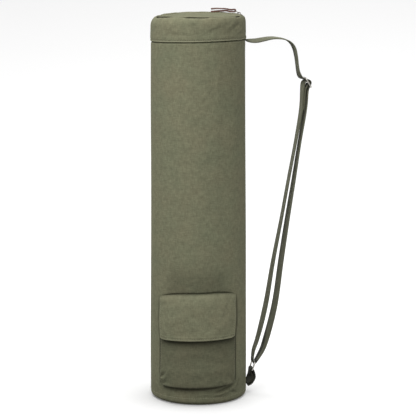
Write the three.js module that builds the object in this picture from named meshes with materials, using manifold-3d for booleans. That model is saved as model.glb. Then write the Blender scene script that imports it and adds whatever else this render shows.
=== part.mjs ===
// A yoga mat bag: a tall canvas tube with a round base, a banded top with a zipped lid,
// a flap pocket low on the front and an adjustable webbing strap down one side.
// Millimetres, +Z up. The origin is the middle of the base, on the surface the bag stands on.
// The pocket faces -Y and the strap hangs on the +X side.
// An azimuth is in degrees round the bag, from the front towards the strap side.
import * as THREE from "three";
import { mergeVertices } from "three/addons/utils/BufferGeometryUtils.js";
import Module from "manifold-3d";

const wasm = await Module();
wasm.setup();

// Cloth
const CANVAS = 2;
const TAPE = 1;
const GAP = 0.3;

// Body
const BASE_ROUNDING = 9;
const BODY_SECTIONS = [
  { z: 0, radius: 86.6 },
  { z: 60, radius: 86.8 },
  { z: 200, radius: 85.9 },
  { z: 350, radius: 85.0 },
  { z: 500, radius: 84.1 },
  { z: 643, radius: 83.2 },
];
// Broad folds of the slack canvas: how far the wall goes out, or in where it is negative.
const BODY_FOLDS = [
  { azimuth: -92, z: 560, wide: 34, tall: 120, out: 0.9 },
  { azimuth: -60, z: 420, wide: 22, tall: 150, out: -0.7 },
  { azimuth: -18, z: 500, wide: 24, tall: 130, out: 0.6 },
  { azimuth: 30, z: 380, wide: 20, tall: 140, out: -0.6 },
  { azimuth: 70, z: 300, wide: 26, tall: 160, out: 0.8 },
  { azimuth: 62, z: 25, wide: 16, tall: 18, out: -1.0 },
  { azimuth: 128, z: 470, wide: 28, tall: 150, out: -0.9 },
  { azimuth: 172, z: 240, wide: 30, tall: 140, out: 0.8 },
  { azimuth: -138, z: 330, wide: 28, tall: 160, out: -0.8 },
  { azimuth: -100, z: 110, wide: 26, tall: 90, out: 0.6 },
];
const BODY_COLUMNS = 44;

// Top band, which covers the turned-in top of the body
const BAND_EDGE = 645.4;
const BAND_SLANT = 2.0;
const BAND_LAP = 12;
const BAND_RADIUS = 84.2;
const TUCK_PLAY = 0.5;
const TUCKED_RADIUS = BAND_RADIUS - CANVAS - TUCK_PLAY;

// Lid: its seam is a circle set towards the strap side, so the far shoulder is rounder
const LID_SHIFT = 4.5;
const LID_RADIUS = 75;
const LID_SEAM_GAP = 0.4;
const LID_HEIGHT = 689;
const LID_TILT = 0.02;
const LID_DOME = 4.5;
const LID_HUMP = { x: 46, y: 0, wide: 14, out: 1.2 };
const SHOULDER_TIGHT = 13;
const SHOULDER_ROUND = 20;

// Zip, straight across the lid
const ZIP_SLOT = 6.5;
const TAPE_INNER = 2.6;
const TAPE_OUTER = 13;
const TAPE_SHORT = 0.8;
const TEETH_HALF_WIDTH = 2.2;
const TEETH_SUNK = 1.2;
const TEETH_TALL = 2.4;
const TOOTH_DEPTH = 0.7;
const TOOTH_PITCH = 3;
const TEETH_START = -69;
const TEETH_COUNT = 49;
const SLIDER_X = 72.3;
const PLATE = { long: 11, wide: 7.4, thick: 1.3 };
const CROWN = { half: 3.4, tall: 3.7, wire: 1.2, wide: 2.6 };
const RING_WIRE = 0.6;
const PULL_RING = { long: 8.6, rise: 3.6, wide: 5.4, corner: 2.2 };
const THONG = { wide: 3.2, thick: 1.6 };

// Pocket
const POCKET_AZIMUTH = -1;
const POCKET_RADIUS = 86;
const POCKET_SLOPE = 0.034;
const POUCH_HALF_ANGLE = 47.3;
const POUCH_BOTTOM = 35.2;
const POUCH_MOUTH = 184;
const POUCH_EDGE = 1.9;
const POUCH_CROWN = 0.18;
const SEWN_GAP = 0.4;
const POUCH_SECTIONS = [
  { z: 35, out: 9.6 },
  { z: 60, out: 9.9 },
  { z: 118, out: 8.4 },
  { z: 150, out: 7.0 },
  { z: 184, out: 5.2 },
];
const FLAP_HALF_WIDTH = 67.8;
const FLAP_WAIST = 2.4;
const FLAP_TOP = 204;
const FLAP_BOTTOM = 118;
const FLAP_TOP_DROP = 8;
const FLAP_CORNER = 5;
// How far the outside of the flap stands off the body, from its seam down to its hem.
const FLAP_SECTIONS = [
  { down: 0.0, out: 2.5 },
  { down: 0.04, out: 5.0 },
  { down: 0.12, out: 8.6 },
  { down: 0.25, out: 11.0 },
  { down: 0.6, out: 13.6 },
  { down: 1.0, out: 16.6 },
];
const FLAP_SIDE_EASE = 2.6;

// Strap and its fittings, all in one upright plane through the bag's axis
const STRAP_AZIMUTH = 98;
const STRAP = { wide: 22, thick: 2.4, chamfer: 0.5 };
const BAR = 1.6;
const BAR_SPACING = 10.5;
const FITTING_SIDE = 0.8;
const FITTING_CORNER = 3;
const SLIDER_TILT = 30;
const SLIDER_MIDDLE = { u: 197.8, z: 566.2 };
const RING_TOP = { u: 101.6, z: 54.6 };
const RING_BOTTOM = { u: 97.6, z: 42.4 };
const ROUND_BAR = BAR + GAP + STRAP.thick / 2;
const OVER_LOOP = ROUND_BAR + GAP + STRAP.thick;

// Routes: u is the distance from the bag's axis, twist turns the webbing about its own run.
const STRAP_TOP = [
  { u: 84.9, z: 643.6, twist: 4 },
  { u: 92.6, z: 642.6, twist: 12 },
  { u: 104, z: 642.6, twist: 15 },
  { u: 118, z: 645.0, twist: 13 },
  { u: 132, z: 647.2, twist: 8 },
  { u: 146.5, z: 646.6, twist: 3 },
  { u: 158, z: 644.0, twist: 1 },
  { u: 167, z: 638.2, twist: 1 },
  { u: 173, z: 629, twist: 1 },
  { u: 176.8, z: 615, twist: 1 },
  { u: 179.4, z: 597.6, twist: 0 },
  { u: 181.6, z: 585.5, twist: 0 },
];
const STRAP_OUTER = [
  { u: 197.1, z: 549, twist: 0 },
  { u: 194.0, z: 516.6, twist: 0 },
  { u: 185.3, z: 462.4, twist: -1 },
  { u: 173.9, z: 389.7, twist: -2 },
  { u: 162.5, z: 316.6, twist: -2 },
  { u: 151.7, z: 243, twist: -3 },
  { u: 141.8, z: 168.9, twist: -4 },
  { u: 133.9, z: 131.8, twist: -4 },
  { u: 123.8, z: 94.6, twist: -3 },
  { u: 116.4, z: 75, twist: 0 },
];
const STRAP_INNER = [
  { u: 101.6, z: 74.5, twist: 0 },
  { u: 107.8, z: 95.1, twist: 1 },
  { u: 117.4, z: 132.3, twist: 2 },
  { u: 125.3, z: 169.4, twist: 2 },
  { u: 137.3, z: 243.4, twist: 2 },
  { u: 151.2, z: 316.9, twist: 1 },
  { u: 164.1, z: 389.9, twist: 0 },
  { u: 177.2, z: 462.5, twist: 0 },
  { u: 186.2, z: 516.7, twist: 0 },
  { u: 187.5, z: 534.7, twist: 0 },
  { u: 187.1, z: 549, twist: 0 },
];
const STRAP_SEWN_END = [
  { u: 190.4, z: 548, twist: 0 },
  { u: 190.6, z: 534.7, twist: 0 },
  { u: 189.2, z: 517.5, twist: 0 },
];
const TAB_INNER = [
  { u: 88.6, z: 29, twist: 0 },
  { u: 91.2, z: 34.6, twist: 0 },
];
const TAB_OUTER = [
  { u: 103.4, z: 35.4, twist: 0 },
  { u: 102.6, z: 26.5, twist: 0 },
  { u: 97.2, z: 17.8, twist: 0 },
  { u: 89.2, z: 12.4, twist: 0 },
];

// The lace through the pull ring: a lower tail that lies on the lid and a raised upper tail.
const THONG_LOWER = [
  { x: 22.5, y: -8.2, z: 694.4 },
  { x: 32, y: -6.4, z: 695.2 },
  { x: 42, y: -3.6, z: 696.4 },
  { x: 50, y: -1.2, z: 696.6 },
  { x: 56, y: 0, z: 694.9 },
];
const THONG_UPPER = [
  { x: 58, y: 0, z: 698.0 },
  { x: 50, y: 1.2, z: 699.0 },
  { x: 40, y: 2.6, z: 700.2 },
  { x: 31, y: 3.8, z: 700.5 },
  { x: 22.8, y: 5.0, z: 699.9 },
];

const MATERIALS = {
  canvas: { color: 0x6e6d58, roughness: 0.95, metalness: 0 },
  webbing: { color: 0x767562, roughness: 0.9, metalness: 0 },
  leather: { color: 0x4a2f2a, roughness: 0.6, metalness: 0 },
  metal: { color: 0x8f8e8a, roughness: 0.35, metalness: 1 },
};

const { degToRad, radToDeg, lerp, mapLinear, smoothstep } = THREE.MathUtils;

// A column's value at a place between the rows of a table, which rise in the key.
function between(rows, key, value, at) {
  const last = rows.length - 1;
  const found = rows.findIndex((row) => row[key] > at);
  const next = found < 0 ? last : Math.max(found, 1);
  const a = rows[next - 1];
  const b = rows[next];
  const held = Math.min(Math.max(at, a[key]), b[key]);
  return mapLinear(held, a[key], b[key], a[value], b[value]);
}

function around(azimuth, radius, z) {
  const angle = degToRad(azimuth);
  return new THREE.Vector3(radius * Math.sin(angle), -radius * Math.cos(angle), z);
}

// Bell-shaped folds, added up.
function foldOut(azimuth, z) {
  let out = 0;
  for (const fold of BODY_FOLDS) {
    const turn = THREE.MathUtils.euclideanModulo(azimuth - fold.azimuth + 180, 360) - 180;
    const across = turn / fold.wide;
    const up = (z - fold.z) / fold.tall;
    out += fold.out * Math.exp(-across * across - up * up);
  }
  return out;
}

const bodyRadius = (azimuth, z) => between(BODY_SECTIONS, "z", "radius", z) + foldOut(azimuth, z);
const bandEdge = (azimuth) => BAND_EDGE + BAND_SLANT * Math.sin(degToRad(azimuth));

// Distance from the bag's axis to the lid's seam, a circle shifted along X.
function lidSeamRadius(azimuth) {
  const angle = degToRad(azimuth);
  const side = LID_SHIFT * Math.cos(angle);
  return LID_SHIFT * Math.sin(angle) + Math.sqrt(LID_RADIUS * LID_RADIUS - side * side);
}

// The lid is a shallow dome on a slightly tilted plane, with a low hump under the lace.
function lidTop(x, y) {
  const share = ((x - LID_SHIFT) ** 2 + y * y) / LID_RADIUS ** 2;
  const hump = ((x - LID_HUMP.x) ** 2 + (y - LID_HUMP.y) ** 2) / LID_HUMP.wide ** 2;
  return LID_HEIGHT + LID_TILT * y + LID_DOME * (1 - share) + LID_HUMP.out * Math.exp(-hump);
}

function grid(columns, rows, point) {
  return rows.map((row) => columns.map((column) => point(column, row)));
}

// A closed wall between an outer and an inner grid of points. The columns run to the right
// and the rows run up when the outer side is looked at. A round wall joins its last column
// to its first.
function wall(outer, inner, round) {
  const rows = outer.length;
  const columns = outer[0].length;
  const points = [...outer.flat(), ...inner.flat()];
  const shift = rows * columns;
  const at = (i, j) => j * columns + (i % columns);
  const faces = [];
  const quad = (a, b, c, d) => faces.push(a, b, c, a, c, d);
  const across = round ? columns : columns - 1;
  for (let i = 0; i < across; i++) {
    for (let j = 0; j < rows - 1; j++) {
      const corners = [at(i, j), at(i + 1, j), at(i + 1, j + 1), at(i, j + 1)];
      const [a, b, c, d] = corners;
      quad(a, b, c, d);
      quad(a + shift, d + shift, c + shift, b + shift);
    }
    const low = [at(i, 0), at(i + 1, 0)];
    const high = [at(i, rows - 1), at(i + 1, rows - 1)];
    quad(low[1], low[0], low[0] + shift, low[1] + shift);
    quad(high[0], high[1], high[1] + shift, high[0] + shift);
  }
  for (let j = 0; j < rows - 1 && !round; j++) {
    const left = [at(0, j), at(0, j + 1)];
    const right = [at(columns - 1, j), at(columns - 1, j + 1)];
    quad(left[0], left[1], left[1] + shift, left[0] + shift);
    quad(right[1], right[0], right[0] + shift, right[1] + shift);
  }
  return new THREE.BufferGeometry().setFromPoints(points).setIndex(faces);
}

// The grid moved back by a wall's thickness, square to the surface.
function behind(outer, thickness) {
  const rows = outer.length;
  const columns = outer[0].length;
  const clamp = (value, top) => Math.min(Math.max(value, 0), top);
  return outer.map((line, j) =>
    line.map((point, i) => {
      const row = outer[j];
      const right = row[clamp(i + 1, columns - 1)].clone().sub(row[clamp(i - 1, columns - 1)]);
      const above = outer[clamp(j + 1, rows - 1)][i];
      const below = outer[clamp(j - 1, rows - 1)][i];
      const normal = right.cross(above.clone().sub(below)).normalize();
      return point.clone().addScaledVector(normal, -thickness);
    }),
  );
}

// A section carried through stations, each with a middle and two unit directions.
function sweep(stations, section, closed) {
  const points = [];
  const faces = [];
  const sides = section.length;
  const count = stations.length;
  for (const { middle, across, normal } of stations) {
    for (const [a, n] of section) {
      points.push(middle.clone().addScaledVector(across, a).addScaledVector(normal, n));
    }
  }
  for (let s = 0; s < (closed ? count : count - 1); s++) {
    const here = s * sides;
    const there = ((s + 1) % count) * sides;
    for (let k = 0; k < sides; k++) {
      const next = (k + 1) % sides;
      faces.push(here + k, there + k, there + next, here + k, there + next, here + next);
    }
  }
  for (let k = 1; k < sides - 1 && !closed; k++) {
    const end = (count - 1) * sides;
    faces.push(0, k, k + 1, end, end + k + 1, end + k);
  }
  return new THREE.BufferGeometry().setFromPoints(points).setIndex(faces);
}

const flatSection = ({ wide, thick, chamfer }) => {
  const w = wide / 2;
  const t = thick / 2;
  return [
    [-w + chamfer, -t],
    [-w, -t + chamfer],
    [-w, t - chamfer],
    [-w + chamfer, t],
    [w - chamfer, t],
    [w, t - chamfer],
    [w, -t + chamfer],
    [w - chamfer, -t],
  ];
};

const roundSection = (radius, sides) =>
  Array.from({ length: sides }, (_, k) => {
    const angle = (-2 * Math.PI * (k + 0.5)) / sides;
    return [radius * Math.cos(angle), radius * Math.sin(angle)];
  });

const bars = (() => {
  const tilt = degToRad(SLIDER_TILT);
  const step = { u: BAR_SPACING * Math.sin(tilt), z: -BAR_SPACING * Math.cos(tilt) };
  const { u, z } = SLIDER_MIDDLE;
  return {
    top: { u: u - step.u, z: z - step.z },
    middle: SLIDER_MIDDLE,
    low: { u: u + step.u, z: z + step.z },
  };
})();

// A taut route past points and round bars. Turn is 1 where the bar is on the route's left
// and -1 where it is on its right, with u to the right and z up. Each straight run touches
// both of its circles, and each bar gets an arc between its two runs.
function taut(stops) {
  const reach = (stop) => (stop.turn ?? 0) * (stop.radius ?? 0);
  const headings = stops.slice(1).map((to, i) => {
    const from = stops[i];
    const run = Math.hypot(to.u - from.u, to.z - from.z);
    const line = Math.atan2(to.z - from.z, to.u - from.u);
    return line - Math.asin((reach(to) - reach(from)) / run);
  });
  const rows = [];
  stops.forEach((stop, i) => {
    if (!stop.radius) {
      rows.push({ u: stop.u, z: stop.z, twist: stop.twist });
      return;
    }
    const start = headings[i - 1];
    const swing = THREE.MathUtils.euclideanModulo(
      stop.turn * (headings[i] - start),
      2 * Math.PI,
    );
    const steps = Math.ceil(swing / degToRad(32));
    for (let k = 0; k <= steps; k++) {
      const heading = start + (stop.turn * swing * k) / steps;
      const u = stop.u + reach(stop) * Math.sin(heading);
      const z = stop.z - reach(stop) * Math.cos(heading);
      rows.push({ u, z, twist: 0 });
    }
  });
  return rows;
}

const round = (bar, radius, turn) => ({ ...bar, radius, turn });

// Stations of flat webbing on a smooth curve through the rows of a route.
function webbingStations(rows, longestStep) {
  const curve = new THREE.CatmullRomCurve3(
    rows.map((row) => new THREE.Vector3(row.u, row.z, row.twist)),
    false,
    "centripetal",
  );
  const places = [0];
  rows.slice(1).forEach((row, i) => {
    const run = Math.hypot(row.u - rows[i].u, row.z - rows[i].z);
    const steps = Math.max(1, Math.round(run / longestStep));
    for (let k = 1; k <= steps; k++) places.push((i + k / steps) / (rows.length - 1));
  });
  const out = around(STRAP_AZIMUTH, 1, 0);
  const side = around(STRAP_AZIMUTH + 90, 1, 0);
  const up = new THREE.Vector3(0, 0, 1);
  return places.map((place) => {
    const at = curve.getPoint(place);
    const heading = curve.getTangent(place);
    const length = Math.hypot(heading.x, heading.y);
    const run = out.clone().multiplyScalar(heading.x / length);
    run.addScaledVector(up, heading.y / length);
    const across = side.clone().applyAxisAngle(run, degToRad(at.z));
    const normal = run.clone().cross(across);
    const middle = out.clone().multiplyScalar(at.x).addScaledVector(up, at.y);
    return { middle, across, normal };
  });
}

// Stations round a rectangle with rounded corners, for a wire loop in the plane of two
// directions. Long is along the first direction and wide is along the second.
function loopStations(middle, first, second, long, wide, corner) {
  const facing = second.clone().cross(first).normalize();
  const stations = [];
  const quarters = [
    [1, 1],
    [-1, 1],
    [-1, -1],
    [1, -1],
  ];
  quarters.forEach(([a, b], q) => {
    for (let k = 0; k <= 3; k++) {
      const angle = ((q + k / 3) * Math.PI) / 2;
      const outward = first.clone().multiplyScalar(Math.cos(angle));
      outward.addScaledVector(second, Math.sin(angle));
      const point = middle.clone();
      point.addScaledVector(first, a * (long / 2 - corner));
      point.addScaledVector(second, b * (wide / 2 - corner));
      point.addScaledVector(outward, corner);
      stations.push({ middle: point, across: outward, normal: facing });
    }
  });
  return stations;
}

// Solids for joining, and back.
function toSolid(geometry) {
  const bare = geometry.clone();
  bare.deleteAttribute("normal");
  bare.deleteAttribute("uv");
  const merged = mergeVertices(bare, 1e-4);
  return new wasm.Manifold(
    new wasm.Mesh({
      numProp: 3,
      vertProperties: merged.attributes.position.array,
      triVerts: new Uint32Array(merged.index.array),
    }),
  );
}

function joined(...geometries) {
  const mesh = geometries
    .map(toSolid)
    .reduce((a, b) => a.add(b))
    .getMesh();
  return new THREE.BufferGeometry()
    .setAttribute("position", new THREE.BufferAttribute(mesh.vertProperties, 3))
    .setIndex(new THREE.BufferAttribute(mesh.triVerts, 1));
}

const bag = new THREE.Group();

function piece(name, material, geometry, parent = bag) {
  geometry.computeVertexNormals();
  const mesh = new THREE.Mesh(geometry, new THREE.MeshStandardMaterial(MATERIALS[material]));
  mesh.name = name;
  parent.add(mesh);
  return mesh;
}

const evenly = (from, to, steps) =>
  Array.from({ length: steps + 1 }, (_, k) => lerp(from, to, k / steps));
const fullTurn = evenly(0, 360, BODY_COLUMNS).slice(0, -1);

// The canvas tube. It turns in under the bag with a rounded edge, and its top goes up
// inside the band.
function makeBody() {
  const corner = evenly(0, 90, 4).map((angle) => ({ angle }));
  const sides = evenly(60, 620, 10).map((z) => ({ z }));
  const rows = [
    ...corner,
    { z: 30 },
    ...sides,
    { z: -3, tucked: 0 },
    { z: 1.2, tucked: 1 },
    { z: BAND_LAP, tucked: 1 },
  ];
  const point = (azimuth, row, depth) => {
    if (row.angle !== undefined) {
      const radius = bodyRadius(azimuth, BASE_ROUNDING) - BASE_ROUNDING;
      const angle = degToRad(row.angle);
      const reach = BASE_ROUNDING - depth;
      const z = BASE_ROUNDING - reach * Math.cos(angle);
      return around(azimuth, radius + reach * Math.sin(angle), z);
    }
    if (row.tucked === undefined) return around(azimuth, bodyRadius(azimuth, row.z) - depth, row.z);
    const z = bandEdge(azimuth) + row.z;
    const tucked = TUCKED_RADIUS + foldOut(azimuth, z);
    return around(azimuth, lerp(bodyRadius(azimuth, z), tucked, row.tucked) - depth, z);
  };
  const outer = grid(fullTurn, rows, (azimuth, row) => point(azimuth, row, 0));
  const inner = grid(fullTurn, rows, (azimuth, row) => point(azimuth, row, CANVAS));
  piece("bag_body", "canvas", wall(outer, inner, true));
}

// The round base panel, flat on the floor, just inside the turned-in edge of the body.
function makeBase() {
  const edge = fullTurn.map((azimuth) => {
    const radius = bodyRadius(azimuth, BASE_ROUNDING) - BASE_ROUNDING - GAP;
    const point = around(azimuth, radius, 0);
    return new THREE.Vector2(point.x, point.y);
  });
  const options = { depth: CANVAS, bevelEnabled: false };
  piece("base_panel", "canvas", new THREE.ExtrudeGeometry(new THREE.Shape(edge), options));
}

// The band runs up from its stitched edge and rolls over an elliptic shoulder to the lid.
function makeBand() {
  const rows = [
    { up: 0 },
    { up: 0.5 },
    { up: 1, angle: 0 },
    ...evenly(24, 90, 3).map((angle) => ({ up: 1, angle })),
  ];
  const point = (azimuth, row, depth) => {
    const seam = lidSeamRadius(azimuth);
    const angle = degToRad(azimuth);
    const top = LID_HEIGHT - LID_TILT * seam * Math.cos(angle);
    const far = smoothstep(-Math.sin(angle), 0, 1);
    const shoulder = lerp(SHOULDER_TIGHT, SHOULDER_ROUND, far);
    const straight = lerp(bandEdge(azimuth), top - shoulder, row.up);
    const radius = BAND_RADIUS + foldOut(azimuth, straight);
    const roll = degToRad(row.angle ?? 0);
    const r = seam + (radius - depth - seam) * Math.cos(roll);
    return around(azimuth, r, straight + (shoulder - depth) * Math.sin(roll));
  };
  const outer = grid(fullTurn, rows, (azimuth, row) => point(azimuth, row, 0));
  const inner = grid(fullTurn, rows, (azimuth, row) => point(azimuth, row, CANVAS));
  piece("top_band", "canvas", wall(outer, inner, true));
}

// Half of the lid, from the zip's slot out to the seam. Side is -1 in front and 1 behind.
function makeLidHalf(name, side) {
  const radius = LID_RADIUS - LID_SEAM_GAP;
  const end = Math.asin((ZIP_SLOT + 1) / radius);
  const angles = evenly(Math.PI - end, end, 20);
  const shares = side < 0 ? evenly(1, 0, 5) : evenly(0, 1, 5);
  const surface = (sunk) =>
    grid(angles, shares, (angle, share) => {
      const x = LID_SHIFT + radius * Math.cos(angle);
      const y = side * lerp(ZIP_SLOT, radius * Math.sin(angle), share);
      return new THREE.Vector3(x, y, lidTop(x, y) - sunk);
    });
  piece(name, "canvas", wall(surface(0), surface(CANVAS), false));
}

// A zip tape, sewn under the edge of the lid.
function makeZipTape(name, side) {
  const edges = side < 0 ? [-TAPE_OUTER, -TAPE_INNER] : [TAPE_INNER, TAPE_OUTER];
  const reach = LID_RADIUS - TAPE_SHORT;
  const along = evenly(LID_SHIFT - reach, LID_SHIFT + reach, 18);
  const sunk = CANVAS + GAP;
  const surface = (extra) =>
    grid(along, edges, (x, y) => new THREE.Vector3(x, y, lidTop(x, y) - sunk - extra));
  piece(name, "webbing", wall(surface(0), surface(TAPE), false));
}

// The closed teeth, as one toothed strip that follows the dome.
function makeTeeth() {
  const crest = (x) => lidTop(x, 0) - TEETH_SUNK;
  const outline = new THREE.Shape();
  outline.moveTo(TEETH_START, crest(TEETH_START) - TEETH_TALL);
  for (let k = 0; k < TEETH_COUNT; k++) {
    const x = TEETH_START + k * TOOTH_PITCH;
    outline.lineTo(x, crest(x) - TOOTH_DEPTH);
    outline.lineTo(x + TOOTH_PITCH * 0.2, crest(x));
    outline.lineTo(x + TOOTH_PITCH * 0.8, crest(x + TOOTH_PITCH * 0.8));
  }
  const end = TEETH_START + TEETH_COUNT * TOOTH_PITCH;
  outline.lineTo(end, crest(end) - TOOTH_DEPTH);
  for (const x of evenly(end, TEETH_START, 12).slice(0, -1)) {
    outline.lineTo(x, crest(x) - TEETH_TALL);
  }
  const options = { depth: 2 * TEETH_HALF_WIDTH, bevelEnabled: false };
  const geometry = new THREE.ExtrudeGeometry(outline, options);
  geometry.rotateX(Math.PI / 2);
  geometry.translate(0, TEETH_HALF_WIDTH, 0);
  piece("zip_teeth", "metal", geometry);
}

// The zip slider and its ring share a frame that follows the slope of the lid.
const pullFrame = new THREE.Group();
{
  const ahead = lidTop(SLIDER_X + 1, 0) - lidTop(SLIDER_X - 1, 0);
  pullFrame.position.set(SLIDER_X, 0, lidTop(SLIDER_X, 0) - TEETH_SUNK + GAP);
  pullFrame.rotation.y = -Math.atan(ahead / 2);
  bag.add(pullFrame);
}

// A plate over the teeth with an arched crown, whose eye is seen from the front.
function makeZipSlider() {
  const plate = new THREE.BoxGeometry(PLATE.long, PLATE.wide, PLATE.thick);
  plate.translate(0, 0, PLATE.thick / 2);
  const arch = new THREE.Shape();
  const foot = PLATE.thick / 2;
  arch.moveTo(-CROWN.half, foot);
  arch.lineTo(CROWN.half, foot);
  arch.lineTo(CROWN.half, PLATE.thick);
  arch.absellipse(0, PLATE.thick, CROWN.half, CROWN.tall, 0, Math.PI, false, 0);
  arch.closePath();
  const eye = new THREE.Path();
  const half = CROWN.half - CROWN.wire;
  const tall = CROWN.tall - CROWN.wire;
  eye.moveTo(half, PLATE.thick + 0.01);
  eye.absellipse(0, PLATE.thick + 0.01, half, tall, 0, Math.PI, false, 0);
  eye.closePath();
  arch.holes.push(eye);
  const options = { depth: CROWN.wide, bevelEnabled: false, curveSegments: 8 };
  const crown = new THREE.ExtrudeGeometry(arch, options);
  crown.rotateX(Math.PI / 2);
  crown.translate(0, CROWN.wide / 2, 0);
  piece("zip_slider", "metal", joined(plate, crown), pullFrame);
}

const ringEye = new THREE.Vector3(0, 0, PLATE.thick + CROWN.tall - CROWN.wire - GAP - RING_WIRE);
const ringFar = ringEye.clone().add(new THREE.Vector3(-PULL_RING.long, 0, PULL_RING.rise));

// A wire ring through the crown's eye, leaning back over the lid.
function makePullRing() {
  const along = ringEye.clone().sub(ringFar);
  const middle = ringEye.clone().add(ringFar).multiplyScalar(0.5);
  const across = new THREE.Vector3(0, 1, 0);
  const stations = loopStations(
    middle,
    along.clone().normalize(),
    across,
    along.length(),
    PULL_RING.wide,
    PULL_RING.corner,
  );
  const wire = roundSection(RING_WIRE, 6);
  piece("zip_pull_ring", "metal", sweep(stations, wire, true), pullFrame);
}

// A flat leather lace, doubled through the ring, with two free tails.
function makeThong() {
  pullFrame.updateMatrixWorld(true);
  const bar = pullFrame.localToWorld(ringFar.clone());
  const radius = RING_WIRE + GAP + THONG.thick / 2;
  const bend = evenly(-100, 100, 6).map((angle) => ({
    x: bar.x + radius * Math.cos(degToRad(angle)),
    y: 0,
    z: bar.z + radius * Math.sin(degToRad(angle)),
  }));
  const rows = [...THONG_LOWER, ...bend, ...THONG_UPPER];
  const curve = new THREE.CatmullRomCurve3(
    rows.map((row) => new THREE.Vector3(row.x, row.y, row.z)),
    false,
    "centripetal",
  );
  const steps = 2 * (rows.length - 1);
  const stations = evenly(0, 1, steps).map((place) => {
    const run = curve.getTangent(place);
    const normal = run.clone().cross(new THREE.Vector3(0, 1, 0)).normalize();
    const across = normal.clone().cross(run).normalize();
    return { middle: curve.getPoint(place), across, normal };
  });
  const section = flatSection({ ...THONG, chamfer: 0.3 });
  piece("pull_thong", "leather", sweep(stations, section, false));
}

// Places across the pocket, closer together at both sides, from -1 to 1.
const pocketColumns = (() => {
  const half = [0, 0.015, 0.04, 0.08, 0.15, 0.26, 0.4, 0.56, 0.72, 0.86];
  return [...half.map((s) => s - 1), 0, ...half.map((s) => 1 - s).reverse()];
})();

const pocketRise = (azimuth) =>
  POCKET_SLOPE * POCKET_RADIUS * degToRad(azimuth - POCKET_AZIMUTH);

// Keeps a point of the pocket clear of the body.
function clearOfBody(point) {
  const azimuth = radToDeg(Math.atan2(point.x, -point.y));
  const least = bodyRadius(azimuth, point.z) + SEWN_GAP;
  const radius = Math.hypot(point.x, point.y);
  return radius < least ? around(azimuth, least, point.z) : point;
}

// The pouch of the pocket: a front panel whose sides and bottom turn back to the body,
// open at the back and at its mouth under the flap.
function makePouch() {
  const half = POCKET_RADIUS * degToRad(POUCH_HALF_ANGLE);
  const tall = POUCH_MOUTH - POUCH_BOTTOM;
  const rows = [0, 1, 2.6, 5, 9, 16, 27, 42, 58, 75, 92, 110, 128, tall];
  const outer = grid(pocketColumns, rows, (share, up) => {
    const azimuth = POCKET_AZIMUTH + share * POUCH_HALF_ANGLE;
    const z = POUCH_BOTTOM + up + pocketRise(azimuth);
    const sideways = half * (1 - Math.abs(share));
    const rise = (1 - Math.exp(-sideways / POUCH_EDGE)) * (1 - Math.exp(-up / POUCH_EDGE));
    const crown = 1 - POUCH_CROWN * share * share;
    const out = between(POUCH_SECTIONS, "z", "out", z) * crown * rise;
    return around(azimuth, bodyRadius(azimuth, z) + SEWN_GAP + out, z);
  });
  const inner = behind(outer, CANVAS).map((line) => line.map(clearOfBody));
  piece("pocket_pouch", "canvas", wall(outer, inner, false));
}

// The flap hangs from its seam above the pouch and swings clear of it towards the hem.
function makeFlap() {
  const rows = [1, 0.8, 0.6, 0.42, 0.25, 0.16, 0.09, 0.04, 0.015, 0];
  const outer = grid(pocketColumns, rows, (share, down) => {
    const out = between(FLAP_SECTIONS, "down", "out", down);
    const width = FLAP_HALF_WIDTH + FLAP_WAIST * Math.sin(Math.PI * down);
    const halfAngle = radToDeg(Math.asin(width / (POCKET_RADIUS + out)));
    const azimuth = POCKET_AZIMUTH + share * halfAngle;
    const rise = pocketRise(azimuth);
    const top = FLAP_TOP - FLAP_TOP_DROP * share ** 4 + rise;
    const bottom = FLAP_BOTTOM + FLAP_CORNER * share ** 12 + rise;
    const z = lerp(top, bottom, down);
    const ease = FLAP_SIDE_EASE * share ** 4 * smoothstep(down, 0, 0.3);
    return around(azimuth, bodyRadius(azimuth, z) + out - ease, z);
  });
  const inner = behind(outer, CANVAS).map((line) => line.map(clearOfBody));
  piece("pocket_flap", "canvas", wall(outer, inner, false));
}

// One length of webbing: out from the band's seam, through the slider, down and round the
// base ring, up again and sewn back on itself round the slider's middle bar.
function makeStrap() {
  const route = taut([
    ...STRAP_TOP,
    round(bars.top, ROUND_BAR, 1),
    round(bars.middle, OVER_LOOP, -1),
    round(bars.low, ROUND_BAR, 1),
    ...STRAP_OUTER,
    round(RING_TOP, ROUND_BAR, -1),
    ...STRAP_INNER,
    round(bars.middle, ROUND_BAR, -1),
    ...STRAP_SEWN_END,
  ]);
  const section = flatSection(STRAP);
  piece("shoulder_strap", "webbing", sweep(webbingStations(route, 24), section, false));
}

// Middle and directions of a fitting between two bars of the strap's plane.
function fittingFrame(from, to) {
  const out = around(STRAP_AZIMUTH, 1, 0);
  const along = out.clone().multiplyScalar(to.u - from.u);
  along.z = to.z - from.z;
  const middle = out.multiplyScalar((from.u + to.u) / 2);
  middle.z = (from.z + to.z) / 2;
  const side = around(STRAP_AZIMUTH + 90, 1, 0);
  return { middle, along: along.clone().normalize(), side, long: along.length() };
}

const fittingWide = STRAP.wide + 2 * FITTING_SIDE + 2 * BAR;

function fittingLoop({ middle, along, side, long }) {
  const stations = loopStations(middle, along, side, long, fittingWide, FITTING_CORNER);
  return sweep(stations, roundSection(BAR, 8), true);
}

// The three-bar slider that sets the strap's length.
function makeStrapSlider() {
  const frame = fittingFrame(bars.low, bars.top);
  const bar = new THREE.CylinderGeometry(BAR, BAR, fittingWide, 8);
  const upright = new THREE.Vector3(0, 1, 0);
  bar.applyQuaternion(new THREE.Quaternion().setFromUnitVectors(upright, frame.side));
  bar.translate(frame.middle.x, frame.middle.y, frame.middle.z);
  piece("strap_slider", "metal", joined(fittingLoop(frame), bar));
}

function makeBaseRing() {
  piece("base_ring", "metal", fittingLoop(fittingFrame(RING_BOTTOM, RING_TOP)));
}

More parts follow.
